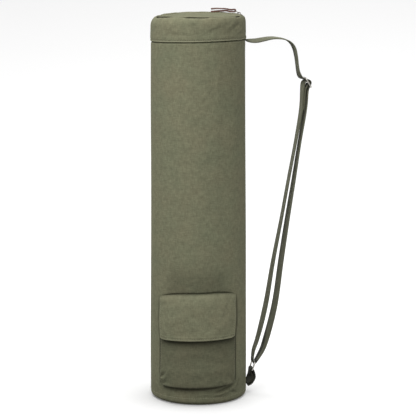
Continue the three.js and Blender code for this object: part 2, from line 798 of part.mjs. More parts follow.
// The webbing tab that holds the ring: both of its ends are sewn to the body.
function makeRingTab() {
  const route = taut([...TAB_INNER, round(RING_BOTTOM, ROUND_BAR, -1), ...TAB_OUTER]);
  const section = flatSection(STRAP);
  piece("ring_tab", "webbing", sweep(webbingStations(route, 8), section, false));
}

makeBody();
makeBase();
makeBand();
makeLidHalf("lid_front", -1);
makeLidHalf("lid_back", 1);
makeZipTape("zip_tape_front", -1);
makeZipTape("zip_tape_back", 1);
makeTeeth();
makeZipSlider();
makePullRing();
makeThong();
makePouch();
makeFlap();
makeStrap();
makeStrapSlider();
makeBaseRing();
makeRingTab();

export default bag;
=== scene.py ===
"""The visual model of a canvas yoga mat bag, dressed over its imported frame.

Sizes are in millimetres and become metres where a mesh is made. +Z is up, the pocket faces
-Y and the strap hangs on the +X side. An azimuth is in degrees round the bag, from the front
towards the strap side.
"""

import functools
import math

import bpy
import numpy as np
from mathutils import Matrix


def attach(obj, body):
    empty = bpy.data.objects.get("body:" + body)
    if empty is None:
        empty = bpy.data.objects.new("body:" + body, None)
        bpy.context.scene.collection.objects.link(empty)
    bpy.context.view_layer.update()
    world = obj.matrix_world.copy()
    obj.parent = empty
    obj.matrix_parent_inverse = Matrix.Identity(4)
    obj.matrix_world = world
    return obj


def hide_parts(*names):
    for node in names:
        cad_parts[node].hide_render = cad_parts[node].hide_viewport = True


bl_info = {
    "name": "Canvas Mat Bag",
    "version": (1, 0, 0),
    "blender": (4, 5, 0),
    "location": "3D View > Sidebar > Mat Bag",
    "description": "Builds a canvas mat bag with its zipped lid, pocket and strap",
    "category": "Add Mesh",
}

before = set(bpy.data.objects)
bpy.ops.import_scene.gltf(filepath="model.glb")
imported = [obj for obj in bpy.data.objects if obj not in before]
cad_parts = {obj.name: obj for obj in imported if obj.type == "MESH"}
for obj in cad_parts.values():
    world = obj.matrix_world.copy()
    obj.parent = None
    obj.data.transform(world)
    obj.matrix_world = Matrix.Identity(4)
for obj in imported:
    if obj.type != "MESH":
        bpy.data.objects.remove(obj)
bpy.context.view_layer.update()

MM = 0.001


def table(columns, *rows):
    """A small table whose columns are read by name."""
    return np.array(list(rows), dtype=[(name, float) for name in columns.split()])


# Cloth
CANVAS = 2.0
TAPE = 1.0
GAP = 0.3

# Body
BASE_ROUNDING = 9.0
FOOT_SEAM = 27  # degrees up the rounded bottom edge
BODY_SECTIONS = table(
    "z radius", (0, 86.6), (60, 86.8), (200, 85.9), (350, 85.0), (500, 84.1), (643, 83.2)
)
BODY_FOLDS = table(
    "azimuth z wide tall out",
    (-92, 560, 34, 120, 0.9), (-60, 420, 22, 150, -0.7), (-18, 500, 24, 130, 0.6),
    (30, 380, 20, 140, -0.6), (70, 300, 26, 160, 0.8), (62, 25, 16, 18, -1.0),
    (128, 470, 28, 150, -0.9), (172, 240, 30, 140, 0.8), (-138, 330, 28, 160, -0.8),
    (-100, 110, 26, 90, 0.6),
)
# Creases are narrow folds: a heading in degrees from level, a length, a width and a height.
BODY_CREASES = table(
    "azimuth z heading long wide out",
    (14, 20, 8, 16, 2.6, 1.4), (24, 23, 12, 18, 2.4, -2.2), (36, 28, 20, 14, 2.4, -2.2),
    (30, 20, 14, 18, 2.4, 1.6), (44, 25, 28, 12, 2.2, 1.8), (47, 19, -16, 12, 2.6, -1.6),
    (22, 14, -4, 20, 2.6, -1.0), (57, 34, 60, 15, 3.0, -1.3), (66, 52, 62, 22, 4.0, 0.8),
    (74, 30, 40, 20, 4.0, -0.8), (-62, 30, -32, 18, 3.4, 0.6), (-70, 60, 80, 30, 4.0, 0.5),
    (60, 250, 84, 60, 5.0, -0.5), (46, 420, 88, 110, 6.0, 0.45), (58, 520, 92, 90, 5.5, -0.5),
    (24, 560, 86, 80, 6.5, 0.35), (-40, 590, 95, 60, 6.0, -0.35), (-66, 300, 90, 120, 6.0, 0.4),
    (10, 235, 8, 38, 6.0, 0.45), (-20, 222, -6, 30, 5.0, -0.35), (120, 90, 30, 40, 5.0, -0.8),
    (150, 300, 70, 60, 6.0, 0.6), (-150, 520, 100, 70, 6.0, 0.6), (-120, 60, -30, 40, 5.0, 0.7),
    (200, 130, 20, 50, 6.0, 0.6),
)
SEAM_AZIMUTH = 180.0
SEAM_STITCH = 3.1

# Top band and lid
BAND_EDGE = 645.4
BAND_SLANT = 2.0
BAND_LAP = 12.0
BAND_RADIUS = 84.2
BAND_STRAIGHT = 25.0
HEM_STITCH = 2.9
TUCKED_RADIUS = BAND_RADIUS - CANVAS - 0.5
BAND_CREASES = table(
    "azimuth z heading long wide out",
    (47, 676, 34, 13, 3.0, 1.3), (52, 670, 30, 13, 2.8, -1.3), (60, 663, 26, 12, 3.0, 1.1),
    (22, 672, 28, 13, 3.4, 0.9), (16, 664, 30, 16, 3.6, -0.8), (-6, 674, 4, 12, 3.4, -0.8),
    (-26, 664, -8, 18, 4.0, 0.7), (-58, 668, 20, 14, 4.6, -0.8), (84, 660, 60, 12, 3.6, 0.8),
    (97, 650, 4, 13, 4.0, 1.5), (130, 666, 20, 16, 4.0, 0.6), (-130, 664, -20, 16, 4.0, 0.6),
    (176, 670, 70, 10, 4.0, -0.5),
)
LID_SHIFT = 4.5
LID_RADIUS = 75.0
LID_SEAM_GAP = 0.4
LID_HEIGHT = 689.0
LID_TILT = 0.02
LID_DOME = 4.5
LID_STITCH = 4.6
SHOULDER_TIGHT = 13.0
SHOULDER_ROUND = 20.0
# Where the lid's seam opens into a dark groove, as azimuth and half width in degrees.
SEAM_GAPES = table(
    "azimuth wide", (-66, 26), (-3, 17), (61, 6), (92, 11), (150, 20), (-130, 20)
)

# Zip
ZIP_SLOT = 6.5
TAPE_INNER = 2.6
TAPE_SHORT = 0.8
TEETH_SUNK = 1.2
TOOTH_PITCH = 3.0
TEETH_START = -68.1
TEETH_COUNT = 49
# A tooth is an outline that narrows to a neck and widens to a rounded head.
TOOTH = table(
    "across half_long half_tall",
    (-2.6, 0.55, 0.75), (-2.3, 0.72, 1.0), (-1.2, 0.72, 1.0), (-0.5, 0.46, 0.8),
    (0.1, 0.62, 0.95), (0.7, 0.6, 0.85), (0.95, 0.3, 0.45),
)
SLIDER_X = 72.3
PLATE_LONG, PLATE_WIDE, PLATE_THICK = 11.0, 7.4, 1.3
PLATE_PROFILE = table(
    "level size",
    (0, 0.02), (0, 0.5), (0, 0.9), (0.16, 1.0), (0.9, 1.0), (1.2, 0.95), (1.3, 0.86),
    (1.3, 0.5), (1.3, 0.02),
)
CROWN_HALF = 3.4
CROWN_TALL = 3.7
CROWN_WIRE = 1.2
CROWN_WIDE = 2.6
RING_WIRE = 0.6
RING_LONG = 8.6
RING_RISE = 3.6
RING_WIDE = 5.4
RING_CORNER = 2.2
THONG_WIDE = 3.6
THONG_THICK = 2.2
THONG_LOWER = [
    (22.5, -8.2, 695.0), (32, -6.4, 695.6), (42, -3.6, 696.2), (50, -1.2, 696.3), (56, 0, 694.9)
]
THONG_UPPER = [
    (58, 0, 698.0), (50, 1.2, 699.4), (40, 2.6, 700.0), (31, 3.8, 700.0), (22.8, 5.0, 699.3)
]

# Pocket
POCKET_AZIMUTH = -1.0
POCKET_RADIUS = 86.0
POCKET_SLOPE = 0.034
POUCH_HALF_ANGLE = 47.3
POUCH_HALF = POCKET_RADIUS * math.radians(POUCH_HALF_ANGLE)
POUCH_SIDE = 66.0
POUCH_BOTTOM = 35.2
POUCH_MOUTH = 184.0
POUCH_EDGE = 1.9
POUCH_CROWN = 0.18
POUCH_STITCH = 3.6
SEWN_GAP = 0.4
POUCH_SECTIONS = table("z out", (35, 9.6), (60, 9.9), (118, 8.4), (150, 7.0), (184, 5.2))
FLAP_HALF_WIDTH = 67.8
FLAP_WAIST = 2.4
FLAP_CREST_HALF = 69.5
FLAP_TOP = 201.8
FLAP_BOTTOM = 121.0
FLAP_TALL = FLAP_TOP - FLAP_BOTTOM
FLAP_FLAT_TALL = 101.0
FLAP_TOP_DROP = 6.6
FLAP_CORNER = 2.4
FLAP_STITCH = 3.4
FLAP_SECTIONS = table(
    "down out", (0, 2.1), (0.04, 3.2), (0.12, 5.6), (0.25, 8.9), (0.6, 13.2), (1, 16.6)
)
FLAP_SIDE_EASE = 2.6
CLOTH_SPREAD = 1.06
# Creases of the pouch and the flap, with across in millimetres from the pocket's middle.
POUCH_CREASES = table(
    "across z heading long wide out",
    (-62, 51, 40, 9, 2.2, -2.4), (-65, 46, 24, 8, 1.8, 2.0), (-57, 45, 62, 7, 2.0, 1.6),
    (-50, 60, 50, 14, 3.4, 1.0), (-56, 41, 8, 9, 1.8, -1.2), (60, 46, -42, 9, 2.4, -1.6),
    (52, 42, -20, 12, 2.4, 1.2), (-20, 95, 12, 30, 6.0, 0.8), (24, 80, -18, 26, 6.0, -0.9),
    (46, 100, -60, 24, 5.0, 0.9), (2, 62, 4, 34, 7.0, 0.8), (-61, 40, 36, 8, 2.0, -1.7),
    (-63, 58, 50, 7, 1.8, 1.3),
)
FLAP_CREASES = table(
    "across z heading long wide out",
    (-30, 160, 30, 26, 7.0, 1.0), (12, 150, -38, 30, 7.0, -1.1), (34, 140, 40, 24, 6.0, 1.0),
    (50, 170, 76, 22, 5.0, -0.9), (-54, 132, -52, 14, 4.0, 0.9), (-6, 186, 4, 36, 5.0, 0.7),
    (-50, 182, 14, 18, 4.0, -0.9), (-20, 132, 12, 24, 5.0, -0.7),
)

# Strap and its fittings, in one upright plane through the bag's axis
STRAP_AZIMUTH = 98.0
STRAP_WIDE = 22.0
STRAP_THICK = 2.0
STRAP_STITCH = 8.4
BAR = 1.45
BAR_SPACING = 9.4
FITTING_WIDE = STRAP_WIDE + 2 * 0.8 + 2 * BAR
FITTING_CORNER = 3.0
SLIDER_TILT = math.radians(30)
SLIDER_MIDDLE = (197.7, 567.3)
RING_TOP = (102.2, 57.4)
RING_BOTTOM = (97.6, 42.4)
ROUND_BAR = BAR + GAP + STRAP_THICK / 2
OVER_LOOP = ROUND_BAR + GAP + STRAP_THICK
STRAP_TOP = table(
    "u z twist",
    (84.9, 643.6, 4), (92.6, 642.6, 12), (104, 642.6, 15), (118, 645.0, 13), (132, 647.2, 8),
    (146.5, 646.6, 3), (158, 644.0, 1), (167, 638.2, -3), (173, 629, -6), (176.6, 615, -4),
    (179.0, 597.6, -3), (180.8, 587.0, -5), (184.4, 577.8, -10),
)
STRAP_OUTER = table(
    "u z twist",
    (198.1, 556.5, -2), (196.4, 547, -4), (195.3, 532, -5), (193.4, 514, -4),
    (184.9, 462.4, -3), (173.9, 389.7, -6), (162.4, 316.6, -10), (151.7, 243, -13),
    (141.8, 168.9, -15), (133.9, 131.8, -16), (124.0, 96.0, -15), (117.6, 78.0, -10),
)
STRAP_INNER = table(
    "u z twist",
    (101.4, 76.5, 2), (107.8, 96.1, 5), (117.3, 132.3, 9), (125.2, 169.4, 9),
    (137.3, 243.4, 5), (151.2, 316.9, 2), (164.1, 389.9, 1), (177.4, 462.5, 1),
    (186.3, 516.7, 4), (187.7, 534.7, 4), (188.0, 549, 4), (188.8, 559, 7), (190.0, 566, 8),
    (192.2, 570.3, 2),
)
STRAP_SEWN_END = table(
    "u z twist",
    (194.2, 560, -4), (191.8, 553, -4), (191.0, 545, -4), (190.6, 533, -4), (189.0, 517.5, -4),
)
TAB_INNER = table(
    "u z twist", (88.8, 17.8, 0), (92.5, 22.6, 14), (95.8, 29.0, 20), (95.4, 35.4, 8)
)
TAB_OUTER = table(
    "u z twist", (101.4, 35.6, -8), (100.0, 28.2, -20), (95.7, 19.8, -18), (89.8, 13.4, 0)
)

# Stage, in metres: each light's name, size and place, and whether it lights the paper alone
LAMPS = (
    ("key", 1.0, (-1.54, -1.0, 2.04), False),
    ("fill", 1.4, (-0.06, -1.89, 1.98), False),
    ("bounce", 0.25, (0.5, -0.3, 0.06), False),
    ("table", 4.6, (0.3, 0.15, 3.2), True),
)
LIT_SPOT = np.array([0.0, 0.0, 0.5])
CAMERA_PLACE = (0.0174, -3.0, 0.8075)
CAMERA_PITCH = math.radians(81.2)
CAMERA_LENS = 145.9


def linear(code):
    """An sRGB hex colour as linear red, green and blue, by the sRGB curve."""
    shares = np.array([int(code[i : i + 2], 16) for i in (1, 3, 5)]) / 255
    curve = np.where(shares <= 0.04045, shares / 12.92, ((shares + 0.055) / 1.055) ** 2.4)
    return tuple(float(share) for share in curve)


# Shapes


def points_of(x, y, z):
    """Points from three arrays of coordinates, stretched to one shape."""
    return np.stack(np.broadcast_arrays(x, y, z), axis=-1).astype(float)


def around(azimuth, radius, z):
    """Points round the axis: x is radius times the sine of the azimuth and y is minus
    radius times its cosine."""
    angle = np.radians(azimuth)
    return points_of(radius * np.sin(angle), -radius * np.cos(angle), z)


UP = np.array([0.0, 0.0, 1.0])
ACROSS = np.array([0.0, 1.0, 0.0])
STRAP_OUT = around(STRAP_AZIMUTH, 1.0, 0.0)
STRAP_SIDE = around(STRAP_AZIMUTH + 90, 1.0, 0.0)


def unit(vectors):
    """The vectors, each divided by its length."""
    return vectors / np.linalg.norm(vectors, axis=-1, keepdims=True)


def lengths_along(points):
    """The distance along a path to each of its points, its steps added up."""
    return np.concatenate([[0], np.cumsum(np.linalg.norm(np.diff(points, axis=0), axis=1))])


def bell(distance, reach):
    """e to the power of minus the squared ratio of distance to reach."""
    return np.exp(-((distance / reach) ** 2))


def ease(value, low, high):
    """Rises smoothly from 0 at low to 1 at high, as 3t squared minus 2t cubed."""
    t = np.clip((value - low) / (high - low), 0, 1)
    return t * t * (3 - 2 * t)


def fading(distance, reach):
    """e to the power of minus the distance, not below 0, over the reach."""
    return np.exp(-np.maximum(distance, 0) / reach)


def highest(*values):
    """The highest of several arrays, place by place."""
    return functools.reduce(np.maximum, values)


def turn_from(azimuth, middle):
    """The signed turn from a middle azimuth, from -180 to 180 degrees."""
    return (azimuth - middle + 180) % 360 - 180


def ripples(angle, waves, start):
    """Waves round the bag added up: the sine of each whole wave count times the angle,
    divided by the number of waves."""
    added = sum(np.sin(n * angle + start + 1.7 * k) for k, n in enumerate(waves))
    return added / len(waves)


def creased(creases, along, z):
    """Narrow folds added up: height times a bell along each crease times a bell across it."""
    total = np.zeros(np.broadcast(along, z).shape)
    for crease in creases:
        heading = math.radians(crease["heading"])
        if "across" in creases.dtype.names:
            x = along - crease["across"]
        else:
            x = BAND_RADIUS * np.radians(turn_from(along, crease["azimuth"]))
        y = z - crease["z"]
        lengthwise = x * math.cos(heading) + y * math.sin(heading)
        crosswise = y * math.cos(heading) - x * math.sin(heading)
        height = crease["out"] * bell(lengthwise, crease["long"])
        total += height * bell(crosswise, crease["wide"])
    return total


def fold_out(azimuth, z):
    """Broad folds added up: height times a bell round the bag times a bell up it."""
    total = np.zeros(np.broadcast(azimuth, z).shape)
    for fold in BODY_FOLDS:
        turn = turn_from(azimuth, fold["azimuth"])
        total += fold["out"] * bell(turn, fold["wide"]) * bell(z - fold["z"], fold["tall"])
    return total


def body_radius(azimuth, z):
    """The tube's plain radius between its sections, plus its broad folds."""
    return np.interp(z, BODY_SECTIONS["z"], BODY_SECTIONS["radius"]) + fold_out(azimuth, z)


def from_seam(azimuth):
    """The distance round the tube from its upright back seam."""
    return np.abs(POCKET_RADIUS * np.radians(turn_from(azimuth, SEAM_AZIMUTH)))


def band_edge(azimuth):
    """The height of the band's lower edge, which slants by a sine round the bag."""
    return BAND_EDGE + BAND_SLANT * np.sin(np.radians(azimuth))


def lid_slump(azimuth):
    """How far the lid's soft edge has slumped at the left, from 0 to 1."""
    return bell(turn_from(azimuth, -84), 28)


def lid_seam_radius(azimuth):
    """Distance from the axis to a circle shifted along X, a little wider at the slump."""
    angle = np.radians(azimuth)
    side = LID_SHIFT * np.cos(angle)
    circle = LID_SHIFT * np.sin(angle) + np.sqrt(LID_RADIUS**2 - side**2)
    return circle + 2.5 * lid_slump(azimuth)


def lid_top(x, y):
    """A shallow dome on a tilted plane, with a low hump under the lace."""
    share = ((x - LID_SHIFT) ** 2 + y * y) / LID_RADIUS**2
    hump = ((x - 46) ** 2 + y * y) / 14**2
    return LID_HEIGHT + LID_TILT * y + LID_DOME * (1 - share) + 1.2 * np.exp(-hump)


def seam_gape(azimuth):
    """How far the lid's seam opens, from 0 to 1: a plateau over most of each opening's width
    that eases down at its ends."""
    turns = [np.abs(turn_from(azimuth, row["azimuth"])) / row["wide"] for row in SEAM_GAPES]
    return np.max([1 - ease(turn, 0.7, 1.15) for turn in turns], axis=0)


def pocket_along(azimuth):
    """The distance round the tube from the pocket's middle."""
    return POCKET_RADIUS * np.radians(turn_from(azimuth, POCKET_AZIMUTH))


def pocket_rise(azimuth):
    """How much higher the slanted pocket stands there than at its middle."""
    return POCKET_SLOPE * POCKET_RADIUS * np.radians(azimuth - POCKET_AZIMUTH)


def flap_width(down):
    """Half the flap's width, which swells by a half sine from its top to its hem."""
    return FLAP_HALF_WIDTH + FLAP_WAIST * np.sin(math.pi * down)


def flap_crest(azimuth):
    """Height of the flap's folded top at an azimuth, and how far across the flap that is."""
    share = np.abs(pocket_along(azimuth) / FLAP_CREST_HALF)
    height = FLAP_TOP - FLAP_TOP_DROP * np.minimum(share, 1) ** 4
    return height + pocket_rise(turn_from(azimuth, 0)), share


def pocket_line(azimuth, z):
    """Painted shadow on the tube: dark lines beside the pocket and the strip under it, from 0 to 1.
    The lines stand where the flap's and the pouch's sides hide the tube from the front."""
    along = pocket_along(azimuth)
    level = z - pocket_rise(turn_from(azimuth, 0))
    down = np.clip((FLAP_TOP - level) / FLAP_TALL, 0, 1)
    flap = np.arcsin(flap_width(down) / POCKET_RADIUS)
    pouch = math.asin(POUCH_SIDE / POCKET_RADIUS)
    on_flap = ease(level, FLAP_BOTTOM - 2, FLAP_BOTTOM + 2)
    past = np.abs(along) - POCKET_RADIUS * (pouch + (flap - pouch) * on_flap)
    tall = ease(level, POUCH_BOTTOM - 2, POUCH_BOTTOM + 4)
    tall = tall * (1 - ease(level, FLAP_TOP - 12, FLAP_TOP - 6))
    fade = 3.2 - 1.4 * on_flap
    sides = (1 - ease(past, 0.4 * fade, fade + 1.4)) * tall
    sides = sides * np.where(along > 0, 0.88 - 0.3 * on_flap, 0.92 - 0.5 * on_flap)
    low = POUCH_BOTTOM - 9.5 + 5 * (along / POUCH_SIDE) ** 2
    under = ease(level, low, low + 3) * (1 - ease(level, POUCH_BOTTOM, POUCH_BOTTOM + 4))
    return highest(sides, 0.66 * under * (1 - ease(np.abs(along), 58, 68)))


def taut(*stops):
    """A taut route past points and round bars. A stop is a table of points, or a bar as
    (u, z, radius, turn), with turn 1 where the bar is on the route's left. Each straight
    run touches both of its circles, and each bar gets an arc between its two runs."""
    rows = []
    for stop in stops:
        if isinstance(stop, tuple):
            rows.append((*stop[:2], 0.0, stop[2] * stop[3], stop[3]))
        else:
            rows.extend((row["u"], row["z"], row["twist"], 0.0, 0) for row in stop)
    u, z, twist, reach, turn = np.array(rows).T
    run = np.hypot(np.diff(u), np.diff(z))
    heading = np.arctan2(np.diff(z), np.diff(u)) - np.arcsin(np.diff(reach) / run)
    route = []
    for i in range(len(rows)):
        if turn[i] == 0:
            route.append((u[i], z[i], twist[i]))
            continue
        swing = (turn[i] * (heading[i] - heading[i - 1])) % (2 * math.pi)
        steps = math.ceil(swing / math.radians(32))
        ahead = heading[i - 1] + turn[i] * swing * np.linspace(0, 1, steps + 1)
        arc_u = u[i] + reach[i] * np.sin(ahead)
        arc_z = z[i] - reach[i] * np.cos(ahead)
        route.extend(zip(arc_u, arc_z, np.zeros_like(arc_u)))
    return np.array(route)


def smooth_curve(rows, places):
    """A centripetal Catmull-Rom curve through the rows: each segment is a cubic whose end
    slopes come from its neighbours, weighted by the square root of their distances.
    Returns the points and the slopes at places from 0 to the last row's number."""
    held = np.vstack([2 * rows[0] - rows[1], rows, 2 * rows[-1] - rows[-2]])
    step = np.sqrt(np.linalg.norm(np.diff(held, axis=0), axis=1))[:, None]
    before, here, after = step[:-2], step[1:-1], step[2:]
    a, b, c, d = held[:-3], held[1:-2], held[2:-1], held[3:]
    start = here * ((b - a) / before - (c - a) / (before + here) + (c - b) / here)
    end = here * ((c - b) / here - (d - b) / (here + after) + (d - c) / after)
    segment = np.minimum(places.astype(int), len(rows) - 2)
    t = (places - segment)[:, None]
    b, c, start, end = b[segment], c[segment], start[segment], end[segment]
    square = -3 * b + 3 * c - 2 * start - end
    cube = 2 * b - 2 * c + start + end
    points = b + t * (start + t * (square + t * cube))
    return points, start + t * (2 * square + 3 * t * cube)


def webbing_stations(route, longest):
    """Middles, across and normal directions of flat webbing along a route in the strap's
    upright plane, with no step longer than the longest. Across is the plane's side direction
    turned about the run by the twist."""
    places = [np.zeros(1)]
    for i, run in enumerate(np.hypot(np.diff(route[:, 0]), np.diff(route[:, 1]))):
        steps = max(1, round(run / longest))
        places.append(i + np.arange(1, steps + 1) / steps)
    points, slopes = smooth_curve(route, np.concatenate(places))
    run = unit(slopes[:, :1] * STRAP_OUT + slopes[:, 1:2] * UP)
    twist = np.radians(points[:, 2:])
    across = STRAP_SIDE * np.cos(twist) + np.cross(run, STRAP_SIDE) * np.sin(twist)
    middle = points[:, :1] * STRAP_OUT + points[:, 1:2] * UP
    return middle, across, np.cross(run, across)


def slider_bars():
    """The low, middle and top bars of the strap's slider."""
    u, z = SLIDER_MIDDLE
    step_u, step_z = BAR_SPACING * math.sin(SLIDER_TILT), BAR_SPACING * math.cos(SLIDER_TILT)
    return (u + step_u, z - step_z), (u, z), (u - step_u, z + step_z)


# Meshes


def grid_faces(rows, columns, ring=False, loop=False):
    """Quads of a grid, anticlockwise when the columns run right and the rows run up. A ring
    joins the last column to the first, and a loop joins the last row to the first."""
    index = np.arange(rows * columns).reshape(rows, columns)
    if ring:
        index = np.hstack([index, index[:, :1]])
    if loop:
        index = np.vstack([index, index[:1]])
    corners = [index[:-1, :-1], index[:-1, 1:], index[1:, 1:], index[1:, :-1]]
    return np.stack(corners, axis=-1).reshape(-1, 4)


def shell_of(points, cloth=None, ring=False, loop=False, caps=False):
    """A grid as a shell: its points, its faces and a flat cloth place at each corner. The
    cloth has one more column where the grid is a ring, and one more row where it is a loop."""
    rows, columns = points.shape[:2]
    faces = grid_faces(rows, columns, ring, loop).tolist()
    if cloth is None:
        cloth = np.zeros((rows + loop, columns + ring, 2))
    corners = [cloth[:-1, :-1], cloth[:-1, 1:], cloth[1:, 1:], cloth[1:, :-1]]
    corners = np.stack(corners, axis=-2).reshape(-1, 2)
    if caps:
        low = list(range(columns))[::-1]
        high = list(range((rows - 1) * columns, rows * columns))
        faces += [low, high]
        corners = np.vstack([corners, cloth[0, low], cloth[-1, :columns]])
    points = points.reshape(-1, 3)
    return {"points": points, "faces": faces, "cloth": corners, "grid": (rows, columns)}


def joined(shells):
    """Several shells as one, each with its faces numbered after the last one's points."""
    starts = np.cumsum([0] + [len(shell["points"]) for shell in shells[:-1]])
    faces = []
    for shell, start in zip(shells, starts):
        faces += [[int(corner + start) for corner in face] for face in shell["faces"]]
    stacked = {key: np.vstack([shell[key] for shell in shells]) for key in ("points", "cloth")}
    return {**stacked, "faces": faces}


def flipped(shell):
    """The shell with its faces turned over, and their cloth places with them."""
    sizes = [len(face) for face in shell["faces"]]
    ends = np.cumsum(sizes)
    order = np.concatenate([np.arange(e - 1, e - n - 1, -1) for e, n in zip(ends, sizes)])
    faces = [face[::-1] for face in shell["faces"]]
    return {**shell, "faces": faces, "cloth": shell["cloth"][order]}


def outward(shell):
    """The shell with its faces turned out: they are turned over where the volume, a sixth of
    the sum of each triangle's triple product, is below zero."""
    points, volume = shell["points"], 0.0
    for size in {len(face) for face in shell["faces"]}:
        faces = np.array([face for face in shell["faces"] if len(face) == size])
        for k in range(1, size - 1):
            a, b, c = points[faces[:, 0]], points[faces[:, k]], points[faces[:, k + 1]]
            volume += np.einsum("ij,ij->", a, np.cross(b, c))
    return shell if volume >= 0 else flipped(shell)


def add_object(name, mesh, material):
    """Puts a smooth mesh of one material into the scene."""
    mesh.shade_smooth()
    mesh.materials.append(material)
    item = bpy.data.objects.new(name, mesh)
    bpy.context.scene.collection.objects.link(item)
    return item


def add_piece(name, shell, kind, nodes=(), shade=None, wear_and_highlight=None, wall=None):
    """Puts a shell into a mesh in metres, with its cloth places as a UV map in metres, and
    rides it on the bag. Shade is painted shade on seams, recesses and shadowed places, and
    the second mask paints edges paler where worn and with painted highlight, from 0 to 1.
    A wall is a sheet's thickness inwards and the width that rounds its cut edges."""
    mesh = bpy.data.meshes.new(name)
    mesh.from_pydata((shell["points"] * MM).tolist(), [], shell["faces"])
    layer = mesh.uv_layers.new(name="weave")
    layer.data.foreach_set("uv", (shell["cloth"] * MM).astype(np.float32).ravel())
    for title, values in (("seam_shade", shade), ("edge_wear", wear_and_highlight)):
        if values is not None:
            values = np.clip(np.broadcast_to(values, shell["grid"]), 0, 1)
            attribute = mesh.attributes.new(title, "FLOAT", "POINT")
            attribute.data.foreach_set("value", values.astype(np.float32).ravel())
    piece = add_object(name, mesh, material_for(kind))
    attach(piece, "root")
    if nodes:
        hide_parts(*nodes)
    if wall:
        sheet = piece.modifiers.new("wall", "SOLIDIFY")
        sheet.thickness = wall[0] * MM
        sheet.offset = -1
        sheet.use_quality_normals = True
        edge = piece.modifiers.new("edge", "BEVEL")
        edge.width = wall[1] * MM
        edge.segments = 2
        edge.limit_method = "ANGLE"
        edge.angle_limit = math.radians(60)
    return piece


def rounded_flat(wide, thick, corner, sides=4, ends=4):
    """Outline of a flat bar with rounded edges: straight runs joined by quarter circles of
    the corner's radius."""
    w, t = wide / 2 - corner, thick / 2 - corner
    parts = []
    for k, (a, b) in enumerate([(1, 1), (-1, 1), (-1, -1), (1, -1)]):
        angle = np.linspace(k * math.pi / 2, (k + 1) * math.pi / 2, ends)
        parts.append(np.stack([a * w + corner * np.cos(angle), b * t + corner * np.sin(angle)], 1))
        if k in (0, 2):
            run = np.linspace(w, -w, sides + 2)[1:-1] * (1 - k)
            parts.append(np.stack([run, np.full(sides, thick / 2 * (1 - k))], 1))
    outline = np.vstack(parts)
    return outline[np.linalg.norm(outline - np.roll(outline, 1, axis=0), axis=1) > 1e-6]


def round_outline(radius, sides=14):
    """Outline of a round wire."""
    angle = np.linspace(0, 2 * math.pi, sides, endpoint=False)
    return np.stack([radius * np.cos(angle), radius * np.sin(angle)], axis=1)


def carried(middle, across, normal, outline, loop=False):
    """An outline carried along stations: middle plus across times its first coordinate plus
    normal times its second. The cloth place is the way round and the way along."""
    points = middle[:, None] + across[:, None] * outline[:, :1] + normal[:, None] * outline[:, 1:]
    way_round = lengths_along(np.vstack([outline, outline[:1]]))
    way_along = lengths_along(np.vstack([middle, middle[:1]]) if loop else middle)
    cloth = np.stack(np.meshgrid(way_round - way_round[-1] / 4, way_along), axis=-1)
    return outward(shell_of(points, cloth, ring=True, loop=loop, caps=not loop))


def loop_path(low, high, second, wide, corner, steps=7):
    """Stations round a rectangle with rounded corners. Its ends lie at two points, and it is
    wide in the second direction."""
    long = np.linalg.norm(high - low)
    first = (high - low) / long
    facing = unit(np.cross(second, first))
    middles, outs = [], []
    for k, (a, b) in enumerate([(1, 1), (-1, 1), (-1, -1), (1, -1)]):
        angle = np.linspace(k, k + 1, steps)[:, None] * math.pi / 2
        out = first * np.cos(angle) + second * np.sin(angle)
        base = first * a * (long / 2 - corner) + second * b * (wide / 2 - corner)
        middles.append((low + high) / 2 + base + out * corner)
        outs.append(out)
    middles = np.vstack(middles)
    return middles, np.vstack(outs), np.broadcast_to(facing, middles.shape)


def stitch_shells(path, outs, long, pitch, thick):
    """Stitches along a path on cloth, as one shell. Each is a six-sided spindle: its radius
    is the thread's times the root of 1 minus t squared, and both of its ends dip into the
    cloth with t squared, where t runs from -1 to 1 along it."""
    along = lengths_along(path)
    count = max(1, int((along[-1] - long) // pitch))
    starts = (along[-1] - count * pitch) / 2 + pitch * np.arange(count) + (pitch - long) / 2
    head, tail, lift = (
        np.stack([np.interp(where, along, rows[:, k]) for k in range(3)], 1)
        for where, rows in ((starts, path), (starts + long, path), (starts + long / 2, outs))
    )
    length = np.linalg.norm(tail - head, axis=1)[:, None, None]
    run = unit(tail - head)
    lift = unit(lift - run * np.sum(lift * run, axis=1, keepdims=True))
    side = np.cross(run, lift)
    t = np.linspace(-1, 1, 6)
    radius = thick * np.sqrt(np.maximum(1 - t * t, 0.06))
    angle = (np.arange(6) * math.pi / 3)[:, None]
    middle = (head + tail)[:, None] / 2 + run[:, None] * (length / 2) * t[:, None]
    middle = middle + lift[:, None] * (thick * (0.55 - 0.9 * t * t))[:, None]
    ring = side[:, None, None] * np.cos(angle) + lift[:, None, None] * np.sin(angle)
    points = middle[:, :, None] + ring * radius[:, None, None]
    caps = np.array([[5, 4, 3, 2, 1, 0], [30, 31, 32, 33, 34, 35]])
    first = 36 * np.arange(count)[:, None, None]
    faces = (grid_faces(6, 6, ring=True) + first).reshape(-1, 4).tolist()
    faces += (caps + first).reshape(-1, 6).tolist()
    cloth = np.zeros((sum(map(len, faces)), 2))
    return {"points": points.reshape(-1, 3), "faces": faces, "cloth": cloth}


def sew(name, paths, facings=None):
    """Stitches along several paths as one piece. The cloth under each path faces level out
    from the axis, or as the facings say."""
    sizes = bpy.context.scene.mat_bag_sizes
    thread = [size / MM for size in (sizes.stitch_length, sizes.stitch_pitch, sizes.thread_radius)]
    if facings is None:
        facings = [around(np.degrees(np.arctan2(p[:, 0], -p[:, 1])), 1.0, 0.0) for p in paths]
    shells = [stitch_shells(path, outs, *thread) for path, outs in zip(paths, facings)]
    add_piece(name, joined(shells), "thread")


# Materials

MIX = {"out": 2, "data_type": "RGBA"}


